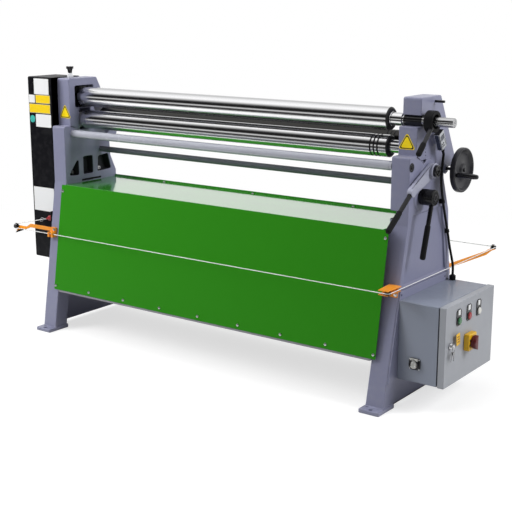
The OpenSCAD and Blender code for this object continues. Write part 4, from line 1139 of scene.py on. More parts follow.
@dataclass
class EndFrames:
    """Cast end frames with rounded edges, their tie bars and the marks on them."""

    edge: float = 3.5
    front_tie: Triple = (-132.0, 919.0, 18.0)
    rear_tie: Triple = (48.0, 829.0, 13.5)
    inner: float = 847.5
    outer: float = 925.5
    relief_depth: Pair = (5.0, 41.0)
    relief_y: Pair = (-172.0, 118.0)
    relief_z: Pair = (719.0, 808.0)

    def build(self) -> None:
        """Builds the frames, bars and marks."""
        for node in ("left_frame", "right_frame"):
            casting = settle(merged_copy(node, (Finishes.casting, Finishes.relief_shade_casting), self.edge, weld=0.7))
            self.darken_reliefs(casting.data)
            place(casting, Body.MACHINE, node)
        self.bars()
        self.triangle("left_triangle", (-879.0, -147.0, 1016.0), 76.0)
        self.triangle("right_triangle", (883.5, -97.0, 1005.0), 74.0)
        self.marks()

    def darken_reliefs(self, mesh: Mesh) -> None:
        """Gives the faces inside the three reliefs a near-black finish, painted shade that stands in for the shade in
        these recesses.

        Args:
            mesh: Mesh of a frame.
        """
        for face in mesh.polygons:
            c = face.center * 1000
            spans = (abs(c.x) - self.inner, self.relief_depth), (c.y, self.relief_y), (c.z, self.relief_z)
            if all(low < value < high for value, (low, high) in spans):
                face.material_index = 1

    def bars(self) -> None:
        """Turns the two tie bars with their shoulders at the frames."""
        for node, (y, z, r), finish in (
            ("front_tie_bar", self.front_tie, Finishes.tie_light), ("rear_tie_bar", self.rear_tie, Finishes.tie_dark),
        ):
            x, low = self.inner, r - 1.2
            profile = [(-x, 0), (-x, low), (-x + 9, low), (-x + 10, r), (x - 10, r), (x - 9, low), (x, low), (x, 0)]
            place(turned(f"{node}_turned", profile, (0, y, z), X_AXIS, finish, 64), Body.MACHINE, node)

    def triangle(self, name: str, centre: Point, width: float) -> None:
        """A blank yellow triangle with a black rim on the front of a frame.

        Args:
            name: Piece name.
            centre: Its middle on the front face.
            width: Length of a side.
        """
        def corners(size: float) -> list[Pair]:
            """Outlines a triangle with rounded corners.

            Args:
                size: Length of a side.

            Returns:
                Points around its middle.
            """
            ring = []
            curve = size * 0.09
            reach = size / math.sqrt(3) - curve * 2
            for mid in (90, 210, 330):
                (cx, cy), = arc(reach, (mid,))
                ring += [(cx + x, cy - 4 + y) for x, y in arc(curve, range(mid - 60, mid + 61, 15))]
            return ring

        layers = ((1.0, 0.4, 1), (0.89, 0.6, 0), (0.72, 0.8, 1))
        obj = solid(name, (Finishes.black_label, Finishes.triangle_yellow), *[
            prism(corners(width * share), facing_front(*centre), rise, 0.0, slot,
            ) for share, rise, slot in layers
        ])
        place(obj, Body.MACHINE, slot="left_frame" if centre[0] < 0 else "right_frame")

    def marks(self) -> None:
        """Scale dots, tie-bar nuts and a thin black plate over the slot of each frame, painted shade that stands in for
        the dark slot.
        """
        dots = [(self.outer, -27.0 + 2.0 * (k % 2), 1040.0 - 12.5 * k) for k in range(8)]
        ScrewRow(
            "scale_dots", Head.DOME, Finishes.black_paint, Body.MACHINE, "right_frame", 4.2, 5,
            [(p, X_AXIS) for p in dots],
        ).build()
        wall = [(926.5, 4.05), (926.5, 5.0), (966.3, 5.0), (966.3, 0), (965.6, 0), (965.6, 4.05)]
        sleeve = turned("crown_pin_sleeve", eased(wall, 0.5), (0, 36.0, 1152.0), X_AXIS, Finishes.phenolic, 24)
        place(sleeve, Body.MACHINE, slot="right_frame")
        y, z, _ = self.front_tie
        for side, out in (("left", -1), ("right", 1)):
            x = out * self.outer
            socket = eased([(0, 17), (2.2, 17), (2.2, 12), (0.4, 10.5), (0.4, 0)], 0.8)
            ring = turned(f"{side}_tie_socket", socket, (x, y, z), (out, 0, 0), Finishes.charcoal, 40)
            place(ring, Body.MACHINE, slot=f"{side}_frame")
            head = prism(hexagon(8.5), axis_frame(mm(x, y, z), (out, 0, 0)), 1.8, 0.4)
            nut = solid(f"{side}_tie_screw", Finishes.black_paint, head)
            place(nut, Body.MACHINE, slot=f"{side}_frame")
        for side, out in (("left", 1), ("right", -1)):
            bolts = [((-887.5 * out, y, 731.0), (out, 0, 0.1)) for y in (-112.0, 62.0)]
            ScrewRow(
                f"{side}_relief_screws", Head.SOCKET, Finishes.zinc, Body.MACHINE, f"{side}_frame", 19.0, 7, bolts,
            ).build()
            # Painted shade: a thin matt black plate where the slot opening falls into shade.
            x = -self.inner * out - (0 if out > 0 else 0.6)
            slot = solid(
                f"{side}_slot_lining", Finishes.matt_black,
                prism(rounded_outline(128, 9, 4), facing_x(x, -22, 694), 0.6),
            )
            place(slot, Body.MACHINE, slot=f"{side}_frame")


# ---------------------------------------------------------------- rolls and bearings


@dataclass
class Rolls:
    """Ground rolls with necks, journals and wire grooves, and the blocks that carry them."""

    top: Triple = (-50.0, 1085.0, 45.0)
    bottom: Triple = (-50.0, 980.0, 43.0)
    rear: Triple = (75.0, 985.0, 43.0)
    right_end: float = 793.6
    shaft_from: float = 985.0
    shaded_until: float = -841.0
    end_band: float = 18.0
    rim_skin: float = 0.4
    groove_skin: float = 0.5
    groove_half: float = 3.9
    facing_along: float = 0.2
    grooves: tuple[float, ...] = (720.6, 736.6, 752.6)

    def build(self) -> None:
        """Builds rolls, blocks and the bush."""
        end = self.right_end
        top = eased([
            (-901.5, 0), (-901.5, 18), (-899.5, 20), (-855.5, 20), (-855.5, 40), (-850.5, 45), (end - 7, 45), (end, 38),
            (end, 27), (end + 2, 25), (842.6, 25), (842.6, 18), (self.shaft_from, 18), (1052, 18), (1053.5, 16.5),
            (1053.5, 4), (1049, 2), (1048, 0),
        ], 1.6)
        low, rear = self.low_profile(self.bottom[2]), self.low_profile(self.rear[2])
        # The rear roll gets near-black steel, painted shade.
        for node, body, (y, z, r), profile, finish in (
            ("top_roll", Body.TOP_ROLL, self.top, top, Finishes.steel),
            ("bottom_roll", Body.LOW_ROLL, self.bottom, low, Finishes.steel),
            ("rear_roll", Body.BACK_ROLL, self.rear, rear, Finishes.shaded_rear_steel),
        ):
            roll = turned(f"{node}_turned", profile, (0, y, z), X_AXIS, finish, 96)
            place(self.darken_cuts(roll, y, z, r), body, node)
        finish_copy("top_bearing_block", Body.TOP_CARRIER, Finishes.black_paint, 1.2)
        finish_copy("jaw_bush", Body.TOP_CARRIER, Finishes.phenolic, 0.6)
        finish_copy("bottom_bearing_blocks", Body.LOW_CARRIER, Finishes.block, 1.0)
        finish_copy("rear_bearing_blocks", Body.REAR_CARRIER, Finishes.block, 1.0)

    def darken_cuts(self, roll: Object, y: float, z: float, r: float) -> Object:
        """Paints shade on a roll: near-black in its grooves, on its eased ends and on its journal inside the left
        frame, and a darker steel on its shaft end that dims its reflection.

        Args:
            roll: The turned roll.
            y: Place of its axis.
            z: Height of its axis.
            r: Radius of its body.

        Returns:
            The same roll.
        """
        for finish in (Finishes.groove_shade_steel, Finishes.shaded_shaft_steel):
            roll.data.materials.append(finish.material)
        # Painted shade: grooves, eased ends and the journal inside the left frame go near-black; the shaft end gets a
        # darker steel.
        for face in roll.data.polygons:
            x, across, high = (c * 1000 for c in face.center)
            radius = math.hypot(across - y, high - z)
            groove = any(abs(x - g) < self.groove_half for g in self.grooves) and radius < r - self.groove_skin
            rim = r - self.end_band < radius < r - self.rim_skin and abs(face.normal.x) > self.facing_along
            if groove or rim or x < self.shaded_until:
                face.material_index = 1
            elif x > self.shaft_from:
                face.material_index = 2
        return roll

    def low_profile(self, r: float) -> list[Pair]:
        """Profile of a lower roll with its wire grooves.

        Args:
            r: Radius of the roll body.

        Returns:
            Pairs of X and radius.
        """
        points = [(-901.5, 0), (-901.5, 18.5), (-900, 20), (-842.5, 20), (-842.5, r - 4), (-838.5, r)]
        points.append((self.grooves[0] - 4.2, r))
        for x in self.grooves:
            for k in range(9):
                a = math.radians(180 + 180 * k / 8)
                points.append((x + 3.5 * math.cos(a), r - 0.3 + 3.7 * math.sin(a)))
        end = self.right_end
        points += [(end - 5, r), (end, r - 5), (end, 27), (end + 2, 25), (842.5, 25), (842.5, 20)]
        return [*points, (900, 20), (901.5, 18.5), (901.5, 0)]


# ---------------------------------------------------------------- sheets


@dataclass
class Panels:
    """Green folded sheets between the frames, with their rails and screws."""

    edge: float = 1.2
    columns: int = 9
    reach: float = 835.0
    lapped: float = 861.0
    fold_z: float = 684.0
    face_h: float = 488.0
    front_y: Pair = (194.0, 271.0)
    rear_y: Pair = (140.0, 238.0)
    inside: Pair = (-120.0, 100.0)
    leaning: float = 0.3
    facing_down: float = -0.5

    def build(self) -> None:
        """Builds the sheets, the rails and the screws."""
        for node in ("front_panel", "rear_panel", "top_panel"):
            outer = Finishes.green_top if node == "top_panel" else Finishes.green
            sheet = merged_copy(node, (outer, Finishes.inner_shade_sheet), self.edge)
            self.darken_inside(sheet)
            place(settle(sheet), Body.MACHINE, node)
        finish_copy("panel_rails", Body.MACHINE, Finishes.rail, 1.0)
        self.screws()

    def darken_inside(self, sheet: Object) -> None:
        """Gives the faces that look into the machine, and those that look down, a dark finish: painted shade inside and
        under the sheets.

        Args:
            sheet: The copy of a folded sheet.
        """
        for face in sheet.data.polygons:
            n, c = face.normal, face.center
            front = n.y > self.leaning and c.y < self.inside[0] * MM
            rear = n.y < -self.leaning and c.y > self.inside[1] * MM and c.z < self.fold_z * MM
            face.material_index = 1 if front or rear or n.z < self.facing_down else 0

    def on_sheet(self, x: float, z: float, front: bool = True) -> tuple[Point, Point]:
        """Place and direction of a screw on the front or rear sheet.

        Args:
            x: Place along the machine.
            z: Height.
            front: Whether it is on the front sheet.

        Returns:
            The place and the outward direction.
        """
        high, low = self.front_y if front else self.rear_y
        y = high + (low - high) * (self.fold_z - z) / self.face_h
        out = -1 if front else 1
        return (x, out * y, z), (0, out, (low - high) / self.face_h)

    def screws(self) -> None:
        """Rows of pan screws along the lower edges and in the upper corners."""
        points = []
        for front in (True, False):
            reach = self.lapped if front else self.reach
            spread = [-reach + 2 * reach * k / (self.columns - 1) for k in range(self.columns)]
            points += [self.on_sheet(x, 214.0, front) for x in spread]
            points += [self.on_sheet(x, 655.0, front) for x in (-reach, reach)]
        points += [((x, 128.0, 686.0), Z_AXIS) for x in (-520.0, 0.0, 520.0)]
        ScrewRow("sheet_screws", Head.PAN, Finishes.zinc, Body.MACHINE, "front_panel", 12.5, 11, points).build()


@dataclass
class DriveCover:
    """Black sheet cover on the left frame with its blank plates."""

    front: float = -185.0
    plates: tuple[tuple[str, float, float, float, float], ...] = (
        ("white", -1041.0, -942.0, 1095.0, 1169.0),
        ("white", -1078.0, -1037.0, 1054.0, 1092.0),
        ("yellow", -1033.0, -936.0, 1054.0, 1093.0),
        ("yellow", -1078.0, -937.0, 1008.0, 1050.0),
        ("white", -1037.0, -934.0, 943.0, 1004.0),
        ("white", -1074.0, -936.0, 541.0, 656.0),
    )
    disc: Triple = (-1059.0, 979.0, 17.0)

    def build(self) -> None:
        """Builds the cover, its plates and screws."""
        finish_copy("drive_cover", Body.MACHINE, Finishes.cover, 2.0)
        tones = {"white": Finishes.white_label, "yellow": Finishes.yellow_label}
        for i, (tone, x0, x1, z0, z1) in enumerate(self.plates):
            w, h, where = x1 - x0, z1 - z0, facing_front((x0 + x1) / 2, self.front, (z0 + z1) / 2)
            plate = solid(
                f"cover_plate_{i + 1}", (tones[tone], Finishes.plate_rim),
                prism(rounded_outline(w, h, 3), where, 0.5, 0.0, 1),
                prism(rounded_outline(w - 3, h - 3, 2), where, 0.8, 0.0, 0),
            )
            place(plate, Body.MACHINE, slot="drive_cover")
        x, z, r = self.disc
        rim = [(0, 0), (0, r), (0.6, r), (0.8, r - 1), (0.8, 0)]
        disc = turned("cover_disc", rim, (x, self.front, z), (0, -1, 0), Finishes.teal_label, 40)
        place(disc, Body.MACHINE, slot="drive_cover")
        points = [((-1081.5, y, z), (-1, 0, 0)) for z in (345.0, 630.0, 900.0, 1145.0) for y in (-168.0, 34.0)]
        ScrewRow("cover_screws", Head.DOME, Finishes.black_paint, Body.MACHINE, "drive_cover", 11.0, 13, points).build()
        louvres = solid("cover_louvres", Finishes.cover, *[
            box((-1083.5, -110.0, z), (-1081.1, -20.0, z + 6), 1.0) for z in range(700, 826, 14)
        ])
        place(louvres, Body.MACHINE, slot="drive_cover")


# ---------------------------------------------------------------- controls on the right frame


@dataclass
class Lever:
    """A turned rod with a grip at its far end."""

    name: str
    origin: Triple
    angle: float
    start: float
    length: float
    grip: float
    rod_r: float = 8.5
    grip_r: float = 11.0

    def build(self, rod: Finish, grip: Finish) -> Object:
        """Makes the lever.

        Args:
            rod: Finish of the rod.
            grip: Finish of the grip.

        Returns:
            The piece, not yet on a body.
        """
        a = math.radians(self.angle)
        where = axis_frame(mm(*self.origin), (0, math.cos(a), math.sin(a)))
        joint = self.length - self.grip
        r, g = self.rod_r, self.grip_r
        bm = bmesh.new()
        add_lathe(bm, eased([(self.start, 0), (self.start, r), (joint + 6, r), (joint + 6, 0)], 0.8), where, 32, 0)
        end = self.length
        grip_profile = [
            (joint, 0), (joint, r + 0.4), (joint + 4, g - 0.6), (joint + 12, g), (end - 7, g), (end - 2, g - 2),
            (end, g - 5), (end, 0),
        ]
        add_lathe(bm, eased(grip_profile, 2.0), where, 32, 1)
        return from_bmesh(self.name, bm, (rod, grip))


@dataclass
class Controls:
    """Release ring, pinch and feed levers, handwheel, star knob and the small covers around them."""

    axis: Pair = (-50.0, 1085.0)
    pinch: Pair = (-6.0, 894.0)
    feed: Pair = (-56.0, 800.0)
    wheel: Pair = (148.0, 882.0)
    grip: Pair = (78.0, 872.0)

    def build(self) -> None:
        """Builds every control."""
        self.release()
        self.levers()
        self.handwheel()
        self.star()

    def release(self) -> None:
        """Release ring with its hollow face and its lever."""
        y, z = self.axis
        finish_copy("release_ring", Body.RELEASE, Finishes.matt_black, 1.6)
        lever = Lever("release_lever_turned", (970.0, y, z), 223.0, 32.0, 166.0, 60.0)
        place(lever.build(Finishes.charcoal, Finishes.matt_black), Body.RELEASE, "release_lever")

    def levers(self) -> None:
        """Pinch arm with its cap and handle, and the feed hub with its handle."""
        y, z = self.pinch
        # The pinch arm and its boss ring take the lighter casting copy, a painted highlight.
        finish_copy("pinch_arm", Body.PINCH, Finishes.lit_arm_casting, 2.2)
        boss = [(955, 0), (955, 30), (961, 30), (961, 0)]
        ring = turned("pinch_boss_ring", eased(boss, 1.6), (0, y, z), X_AXIS, Finishes.lit_arm_casting, 56)
        place(ring, Body.PINCH, slot="pinch_arm")
        rim = [
            (957.5, 0), (957.5, 23), (971, 23), (973.5, 20.5), (973.5, 15), (971.8, 13.5), (971.8, 9), (973.5, 8),
            (973.5, 4), (969, 4), (969, 0),
        ]
        cap = turned("pinch_cap_turned", eased(rim, 0.8), (0, y, z), X_AXIS, Finishes.phenolic, 56)
        place(cap, Body.PINCH, "pinch_cap")
        (dy, dz), = arc(169, (202,))
        handle = Lever("pinch_handle_turned", (944.5, y + dy, z + dz), 215.0, 5.0, 211.0, 108.0)
        place(handle.build(Finishes.black_paint, Finishes.matt_black), Body.PINCH, "pinch_handle")
        finish_copy("feed_hub", Body.FEED, Finishes.black_paint, 2.0)
        y, z = self.feed
        lever = Lever("feed_handle_turned", (977.5, y, z), 254.0, 19.0, 237.0, 133.0)
        place(lever.build(Finishes.black_paint, Finishes.matt_black), Body.FEED, "feed_handle")
        face = [(990.4, 0), (990.4, 14), (991.2, 14), (991.2, 9), (990.0, 8), (990.0, 0)]
        ring = turned("feed_hub_ring", eased(face, 0.3), (0, y, z), X_AXIS, Finishes.charcoal, 40)
        place(ring, Body.FEED, slot="feed_hub")

    def handwheel(self) -> None:
        """Dished handwheel with its turning grip."""
        y, z = self.wheel
        gy, gz = self.grip
        profile = [
            (890.5, 0), (890.5, 6), (976.5, 6), (976.5, 20), (979, 22), (986, 22), (989, 30), (988.5, 70), (985, 76),
            (984.5, 84), (987, 87.5),
            (1003, 87.5), (1006.5, 84.5), (1006, 78), (1001, 75), (995, 70), (994, 40), (996, 26), (1002, 22),
            (1004.5, 19), (1004.5, 8), (1003, 6), (1003, 0),
        ]
        boss = [(990, 0), (990, 15.5), (1003.5, 14.5), (1005.5, 12), (1005.5, 0)]
        wheel = solid(
            "handwheel_turned", Finishes.charcoal,
            lathe(eased(profile, 2.2), axis_frame(mm(0, y, z), X_AXIS), 96),
            lathe(eased(boss, 1.5), axis_frame(mm(0, gy, gz), X_AXIS), 40),
        )
        place(wheel, Body.WHEEL, "handwheel")
        ScrewRow(
            "wheel_screw", Head.HEX, Finishes.black_paint, Body.WHEEL, "handwheel", 13.0, 17,
            [((1003.0, y, z), X_AXIS)],
        ).build()
        grip = [
            (993, 0), (993, 4), (1007.5, 4), (1007.5, 7), (1009, 8.2), (1014, 9.6), (1030, 9.2), (1055, 10.4),
            (1078, 10.2), (1090, 9.2), (1096, 7.0), (1096.5, 4), (1094.5, 3), (1094.5, 0),
        ]
        place(
            turned("handwheel_grip_turned", eased(grip, 1.2), (0, gy, gz), X_AXIS, Finishes.phenolic, 40),
            Body.WHEEL_GRIP, "handwheel_grip",
        )

    def star(self) -> None:
        """Star knob with its nut on the crown of the left frame."""
        finish_copy("star_knob", Body.STAR, Finishes.phenolic, 1.4)
        x, y, low = -886.5, -99.0, 1172.2
        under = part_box("star_knob")[1][2] * 1000 - 11.0
        cone = [(12, 8.1), (12, 11.5), (20, 10.5), (22, 9.0), (22, 8.1)]
        nut = solid(
            "star_nut", Finishes.bright_zinc,
            prism(hexagon(15.0), Matrix.Translation(mm(x, y, low)), 13.0, 0.8),
            lathe(cone, axis_frame(mm(x, y, low), Z_AXIS), 32),
        )
        collar = [(low + 24, 8.1), (low + 24, 9.5), (under - 6, 11.0), (under, 13.5), (under, 8.1)]
        place(turned("star_collar", collar, (x, y, 0), Z_AXIS, Finishes.phenolic, 32), Body.STAR, slot="star_knob")
        place(nut, Body.STAR, slot="star_knob")


@dataclass
class Readout:
    """Digital position readout, its bracket and the cable down to the cabinet."""

    place_mm: Triple = (925.5, 35.0, 1008.0)
    tilt: float = 29.0
    route: tuple[Triple, ...] = (
        (955, 55.85, 970.4), (955, 66.5, 951.15), (952.5, 66, 915), (951.5, 62, 865), (948.5, 73, 822),
        (941.5, 102, 770),
        (939.5, 113.5, 746), (935.5, 160, 648), (934.5, 177, 610), (937.5, 190, 560), (949, 196, 500), (953, 196, 470),
        (953, 196, 430),
    )
    held: tuple[int, ...] = (0, 5, 7, 11)

    @property
    def tilted(self) -> Matrix:
        """The readout's own tilted frame."""
        return Matrix.Translation(mm(*self.place_mm)) @ Matrix.Rotation(math.radians(self.tilt), 4, "X")

    def frame(self, x: float, y: float = 0.0, z: float = 0.0) -> Matrix:
        """A frame on the tilted readout whose Z points along X."""
        return self.tilted @ facing_x(x, y, z)

    def line(self) -> list[Vector]:
        """Lays the cable's route, straight where clips and sockets hold it.

        Returns:
            Points in millimetres from the readout down to the cabinet.
        """
        points = [Vector(p) for p in self.route]
        last = len(points) - 1
        result = []
        for i in range(last):
            a, b, c, d = points[max(i - 1, 0)], points[i], points[i + 1], points[min(i + 2, last)]
            result += [spline_point(a, b, c, d, k / 8) for k in range(1 if i in self.held else 8)]
        return [*result, points[-1]]

    def build(self) -> None:
        """Builds the readout, bracket, cable and its fittings."""
        finish_copy("readout", Body.MACHINE, Finishes.matt_black, 1.4)
        finish_copy("readout_bracket", Body.MACHINE, Finishes.casting, 0.8)
        side = self.tilted @ facing_front(29.5, -21.0, 0)
        face = solid(
            "readout_face", (Finishes.silver_plate, Finishes.glass_navy, Finishes.matt_black),
            prism(rounded_outline(38, 70, 4), self.frame(40.3), 0.6, 0.0, 0),
            prism(rounded_outline(29, 21, 2), self.frame(40.7, 0, 12), 0.5, 0.0, 1),
            prism(rounded_outline(20, 71, 2), side, 0.5, 0.0, 0),
            prism(rounded_outline(16, 66, 1.5), side, 0.8, 0.0, 1),
            *[box((40.6, 11, z), (41.2, 18, z + 3), 0.2, 1, 2, self.tilted) for z in range(-31, -2, 6)],
            *[
                lathe([(0, 0), (0, 3.2), (0.8, 3.2), (1.2, 2.6), (1.2, 0)], self.frame(40.7, y, z), 20, 2)
                for z in (-12, -22) for y in (-12, -2)
            ],
        )
        place(face, Body.MACHINE, slot="readout")
        ribs = solid("readout_ribs", Finishes.silver_plate, *[
            prism(rounded_outline(2.2, 3.2, 1.0, 3), self.frame(21, 20.6, z), 18, 0.4) for z in range(-30, 32, 6)
        ])
        place(ribs, Body.MACHINE, slot="readout")
        cable = Sweep("readout_cable_swept", self.line(), Finishes.rubber, 5.0, 0, 24.0, 4.0, 20).build()
        place(cable, Body.MACHINE, "readout_cable")
        finish_copy("cable_fittings", Body.MACHINE, Finishes.matt_black, 0.7)
        rings = [
            [(431.5 + 4 * k, 12.6), (432.5 + 4 * k, 13.1), (434.0 + 4 * k, 13.1), (435.0 + 4 * k, 12.6)]
            for k in range(3)
        ]
        dome = solid("gland_rings", Finishes.matt_black, *[
            lathe([(r[0][0], 11), *r, (r[-1][0], 11)], axis_frame(mm(953, 196, 0), Z_AXIS), 40) for r in rings
        ])
        place(dome, Body.MACHINE, slot="cable_fittings")


# ---------------------------------------------------------------- cabinet


@dataclass
class Cabinet:
    """Electrical cabinet with its door, controls, inner plate, inlet and mount."""

    x0: float = 931.0
    x1: float = 1096.0
    door_out: float = 1127.0
    y0: float = -204.0
    y1: float = 210.0
    z0: float = 115.0
    z1: float = 425.0
    buttons: Triple = (-100.0, -14.0, 72.0)
    button_z: float = 355.0
    switch: Pair = (-14.0, 256.0)
    lock: Pair = (-166.0, 273.0)

    def build(self) -> None:
        """Builds the cabinet and everything on it."""
        finish_copy("cabinet_mount", Body.MACHINE, Finishes.casting, 0.8)
        finish_copy("cabinet_body", Body.MACHINE, Finishes.cabinet, 1.6)
        finish_copy("cabinet_door", Body.DOOR, Finishes.door, 1.8)
        self.seals()
        self.inside()
        self.push_buttons()
        self.main_switch()
        self.lock_and_keys()
        self.inlet()

    def seals(self) -> None:
        """Dark seal around the opening, and the pins of the door's hinges."""
        x, inset, width = self.x1 - 0.5, 3.0, 9.0
        y0, y1, z0, z1 = self.y0 + inset, self.y1 - inset, self.z0 + inset, self.z1 - inset
        sides = (
            ((y0, z0), (y1, z0 + width)), ((y0, z1 - width), (y1, z1)),
            ((y0, z0 + width), (y0 + width, z1 - width)), ((y1 - width, z0 + width), (y1, z1 - width)),
        )
        seal = solid("door_seal", Finishes.gasket, *[box((x, *low), (x + 4.0, *high), 0.8, 2) for low, high in sides])
        place(seal, Body.MACHINE, slot="cabinet_body")
        pins = [((1098.5, 220.0, z + 33.2), Z_AXIS) for z in (160.0, 350.0)]
        ScrewRow("hinge_pins", Head.DOME, Finishes.dull_steel, Body.DOOR, "cabinet_door", 7.0, 21, pins).build()

    def inside(self) -> None:
        """Mounting plate with switchgear, terminals and a wiring duct."""
        plate = solid("gear_plate", Finishes.zinc, box((934, -180, 140), (936, 186, 400), 0.8))
        place(plate, Body.MACHINE, slot="cabinet_body")
        finishes = (Finishes.matt_black, Finishes.light_plastic, Finishes.dull_steel, Finishes.charcoal)
        makers = [box((936, -165, z - 17), (943, 171, z + 17), 0.8, 2, 2) for z in (200.0, 300.0)]
        for y in (-150, -95, -40, 40):
            makers.append(box((943, y, 262), (1010, y + 45, 338), 2.0, 2, 0))
            makers.append(box((1010, y + 6, 280), (1018, y + 39, 320), 1.5, 2, 1))
        makers += [box((943, y, 178), (978, y + 7, 222), 0.6, 1, 1) for y in range(-150, -14, 9)]
        makers.append(box((943, 40, 170), (1000, 110, 232), 2.0, 2, 3))
        makers.append(box((936, -165, 238), (976, 171, 252), 1.0, 2, 1))
        gear = solid("switchgear", finishes, *makers)
        place(gear, Body.MACHINE, slot="cabinet_body")

    def push_buttons(self) -> None:
        """Button frames, legend plates and the three caps."""
        finish_copy("button_frames", Body.DOOR, Finishes.phenolic, 0.8)
        legends = solid("button_legends", Finishes.white_label, *[
            prism(rounded_outline(18, 20, 2.5), facing_x(self.door_out + 1.4, y, self.button_z + 33), 2.0, 0.4)
            for y in self.buttons
        ])
        place(legends, Body.DOOR, slot="button_frames")
        cap = [(-8, 0), (-8, 14), (6.5, 14), (8.6, 12.8), (9.8, 9.5), (10, 6), (9.8, 0)]
        for y, (node, body, finish) in zip(self.buttons, (
            ("green_button", Body.GREEN, Finishes.green_cap), ("red_button", Body.RED, Finishes.red),
            ("white_button", Body.WHITE, Finishes.white_cap),
        )):
            place(
                turned(f"{node}_cap", eased(cap, 0.8), (self.door_out, y, self.button_z), X_AXIS, finish, 40), body,
                node,
            )

    def main_switch(self) -> None:
        """Yellow switch plate and the dark red knob with its grip ridge."""
        y, z = self.switch
        finish_copy("main_switch_plate", Body.DOOR, Finishes.yellow, 3.0)
        marks = solid("switch_marks", Finishes.black_label, *[
            box((1149.8, y - 29.2, z + up - 4.2), (1150.5, y - 22.8, z + up + 4.2), 0.2) for up in (10, -12)
        ])
        place(marks, Body.DOOR, slot="main_switch_plate")
        disc = [(-18, 0), (-18, 5), (1, 5), (1, 24.5), (5, 25), (7, 23.5), (7, 0)]
        half = [(3.0 - across, up) for across, up in arc(29, range(-85, 90, 10), 28 / 29)]
        knob = solid(
            "switch_knob_moulded", Finishes.dark_red,
            lathe(eased(disc, 1.0), axis_frame(mm(1150, y, z), X_AXIS), 64),
            prism(half, facing_x(1156, y, z), 17.0, 1.6),
        )
        place(knob, Body.SWITCH, "main_switch_knob")

    def lock_and_keys(self) -> None:
        """Chrome lock with a key in it, the ring, a second key and a blank tag."""
        y, z = self.lock
        barrel = [(1107, 0), (1107, 10), (1130, 10), (1131, 12), (1133.5, 11.2), (1134, 9), (1132.5, 7), (1132.5, 0)]
        lock = solid(
            "door_lock_turned", Finishes.chrome,
            lathe(eased(barrel, 0.6), axis_frame(mm(0, y, z), X_AXIS), 40),
            prism(rounded_outline(3, 9, 1), facing_x(1128, y, z), 12, 0.4),
            prism(rounded_outline(3.2, 19, 1.4), facing_x(1138, y, z), 8, 0.6),
        )
        place(lock, Body.LOCK, "door_lock")
        bow = [(1143, y + across, z - 12 + up) for across, up in arc(10, range(0, 361, 15))]
        ring = Sweep("key_ring", bow, Finishes.key_nickel, 0.9, 0, 24.0, 2.0, 10).build()
        place(ring, Body.DOOR, slot="door_lock")
        keys = []
        blade = [
            (-3, -14), (3, -14), (3, -36), (1, -39), (-1.5, -37), (-3, -34), (-1.8, -31), (-3, -28), (-1.8, -25),
            (-3, -22),
        ]
        for dy, lean in ((4.0, 0.10), (-5.0, -0.16)):
            turn = Matrix.Translation(mm(1141 + dy * 0.3, y + dy, z - 20)) @ Matrix.Rotation(lean, 4, "X")
            keys.append(prism(rounded_outline(15, 15, 6), turn @ facing_x(-0.9, 0, -7), 1.8, 0.3))
            keys.append(prism(blade, turn @ facing_x(-0.8, 0, 0), 1.6, 0.2))
        place(solid("hanging_keys", Finishes.key_nickel, *keys), Body.DOOR, slot="door_lock")
        turn = Matrix.Translation(mm(1139, y + 44, z + 14)) @ Matrix.Rotation(0.12, 4, "X")
        tag = solid(
            "key_tag", (Finishes.yellow, Finishes.dark_red),
            prism(rounded_outline(30, 46, 3), turn @ facing_x(0, 0, 4), 1.2, 0.3, 0),
            *[prism(rounded_outline(16, 3.4, 1), turn @ facing_x(1.2, 0, 14 - 10 * k), 0.4, 0.0, 1) for k in range(3)],
        )
        place(tag, Body.DOOR, slot="main_switch_plate")

    def inlet(self) -> None:
        """Power inlet with its flange, collar, pins and lid."""
        x, y, z = 1005.0, -204.0, 190.0
        where = axis_frame(mm(x, y, z), (0, -1, 0))
        pins = arc(8.5, range(30, 360, 72))
        pin = eased([(10, 0), (10, 1.9), (13.6, 1.9), (13.6, 0)], 0.5)
        lip = [(across, up - 2) for across, up in arc(15, range(200, 350, 10))]
        inlet = solid(
            "power_inlet_moulded", (Finishes.charcoal, Finishes.light_plastic, Finishes.zinc),
            prism(rounded_outline(48, 46, 12), facing_front(x, y, z), 4.0, 0.8, 0),
            lathe(eased([(3.5, 21), (14, 20), (14, 16.5), (6, 16), (6, 0), (3.5, 0)], 0.8), where, 48, 0),
            lathe(eased([(5.5, 0), (5.5, 12.5), (11, 12.5), (11, 0)], 0.8), where, 40, 1),
            prism(lip, facing_front(x, y - 6, z), 7.6, 0.6, 1),
            *[lathe(pin, where @ Matrix.Translation(mm(*p, 0)), 14, 2) for p in pins],
            box((x - 15, y - 13.8, z + 13), (x + 17, y - 3, z + 22), 2.5, 3, 1),
        )
        place(inlet, Body.MACHINE, "power_inlet")
        screws = [((x + a * 19.5, y - 4.0, z + b * 18.5), (0, -1, 0)) for a in (-1, 1) for b in (-1, 1)]
        ScrewRow("inlet_screws", Head.PAN, Finishes.zinc, Body.MACHINE, "power_inlet", 6.5, 23, screws).build()


# ---------------------------------------------------------------- safety rope


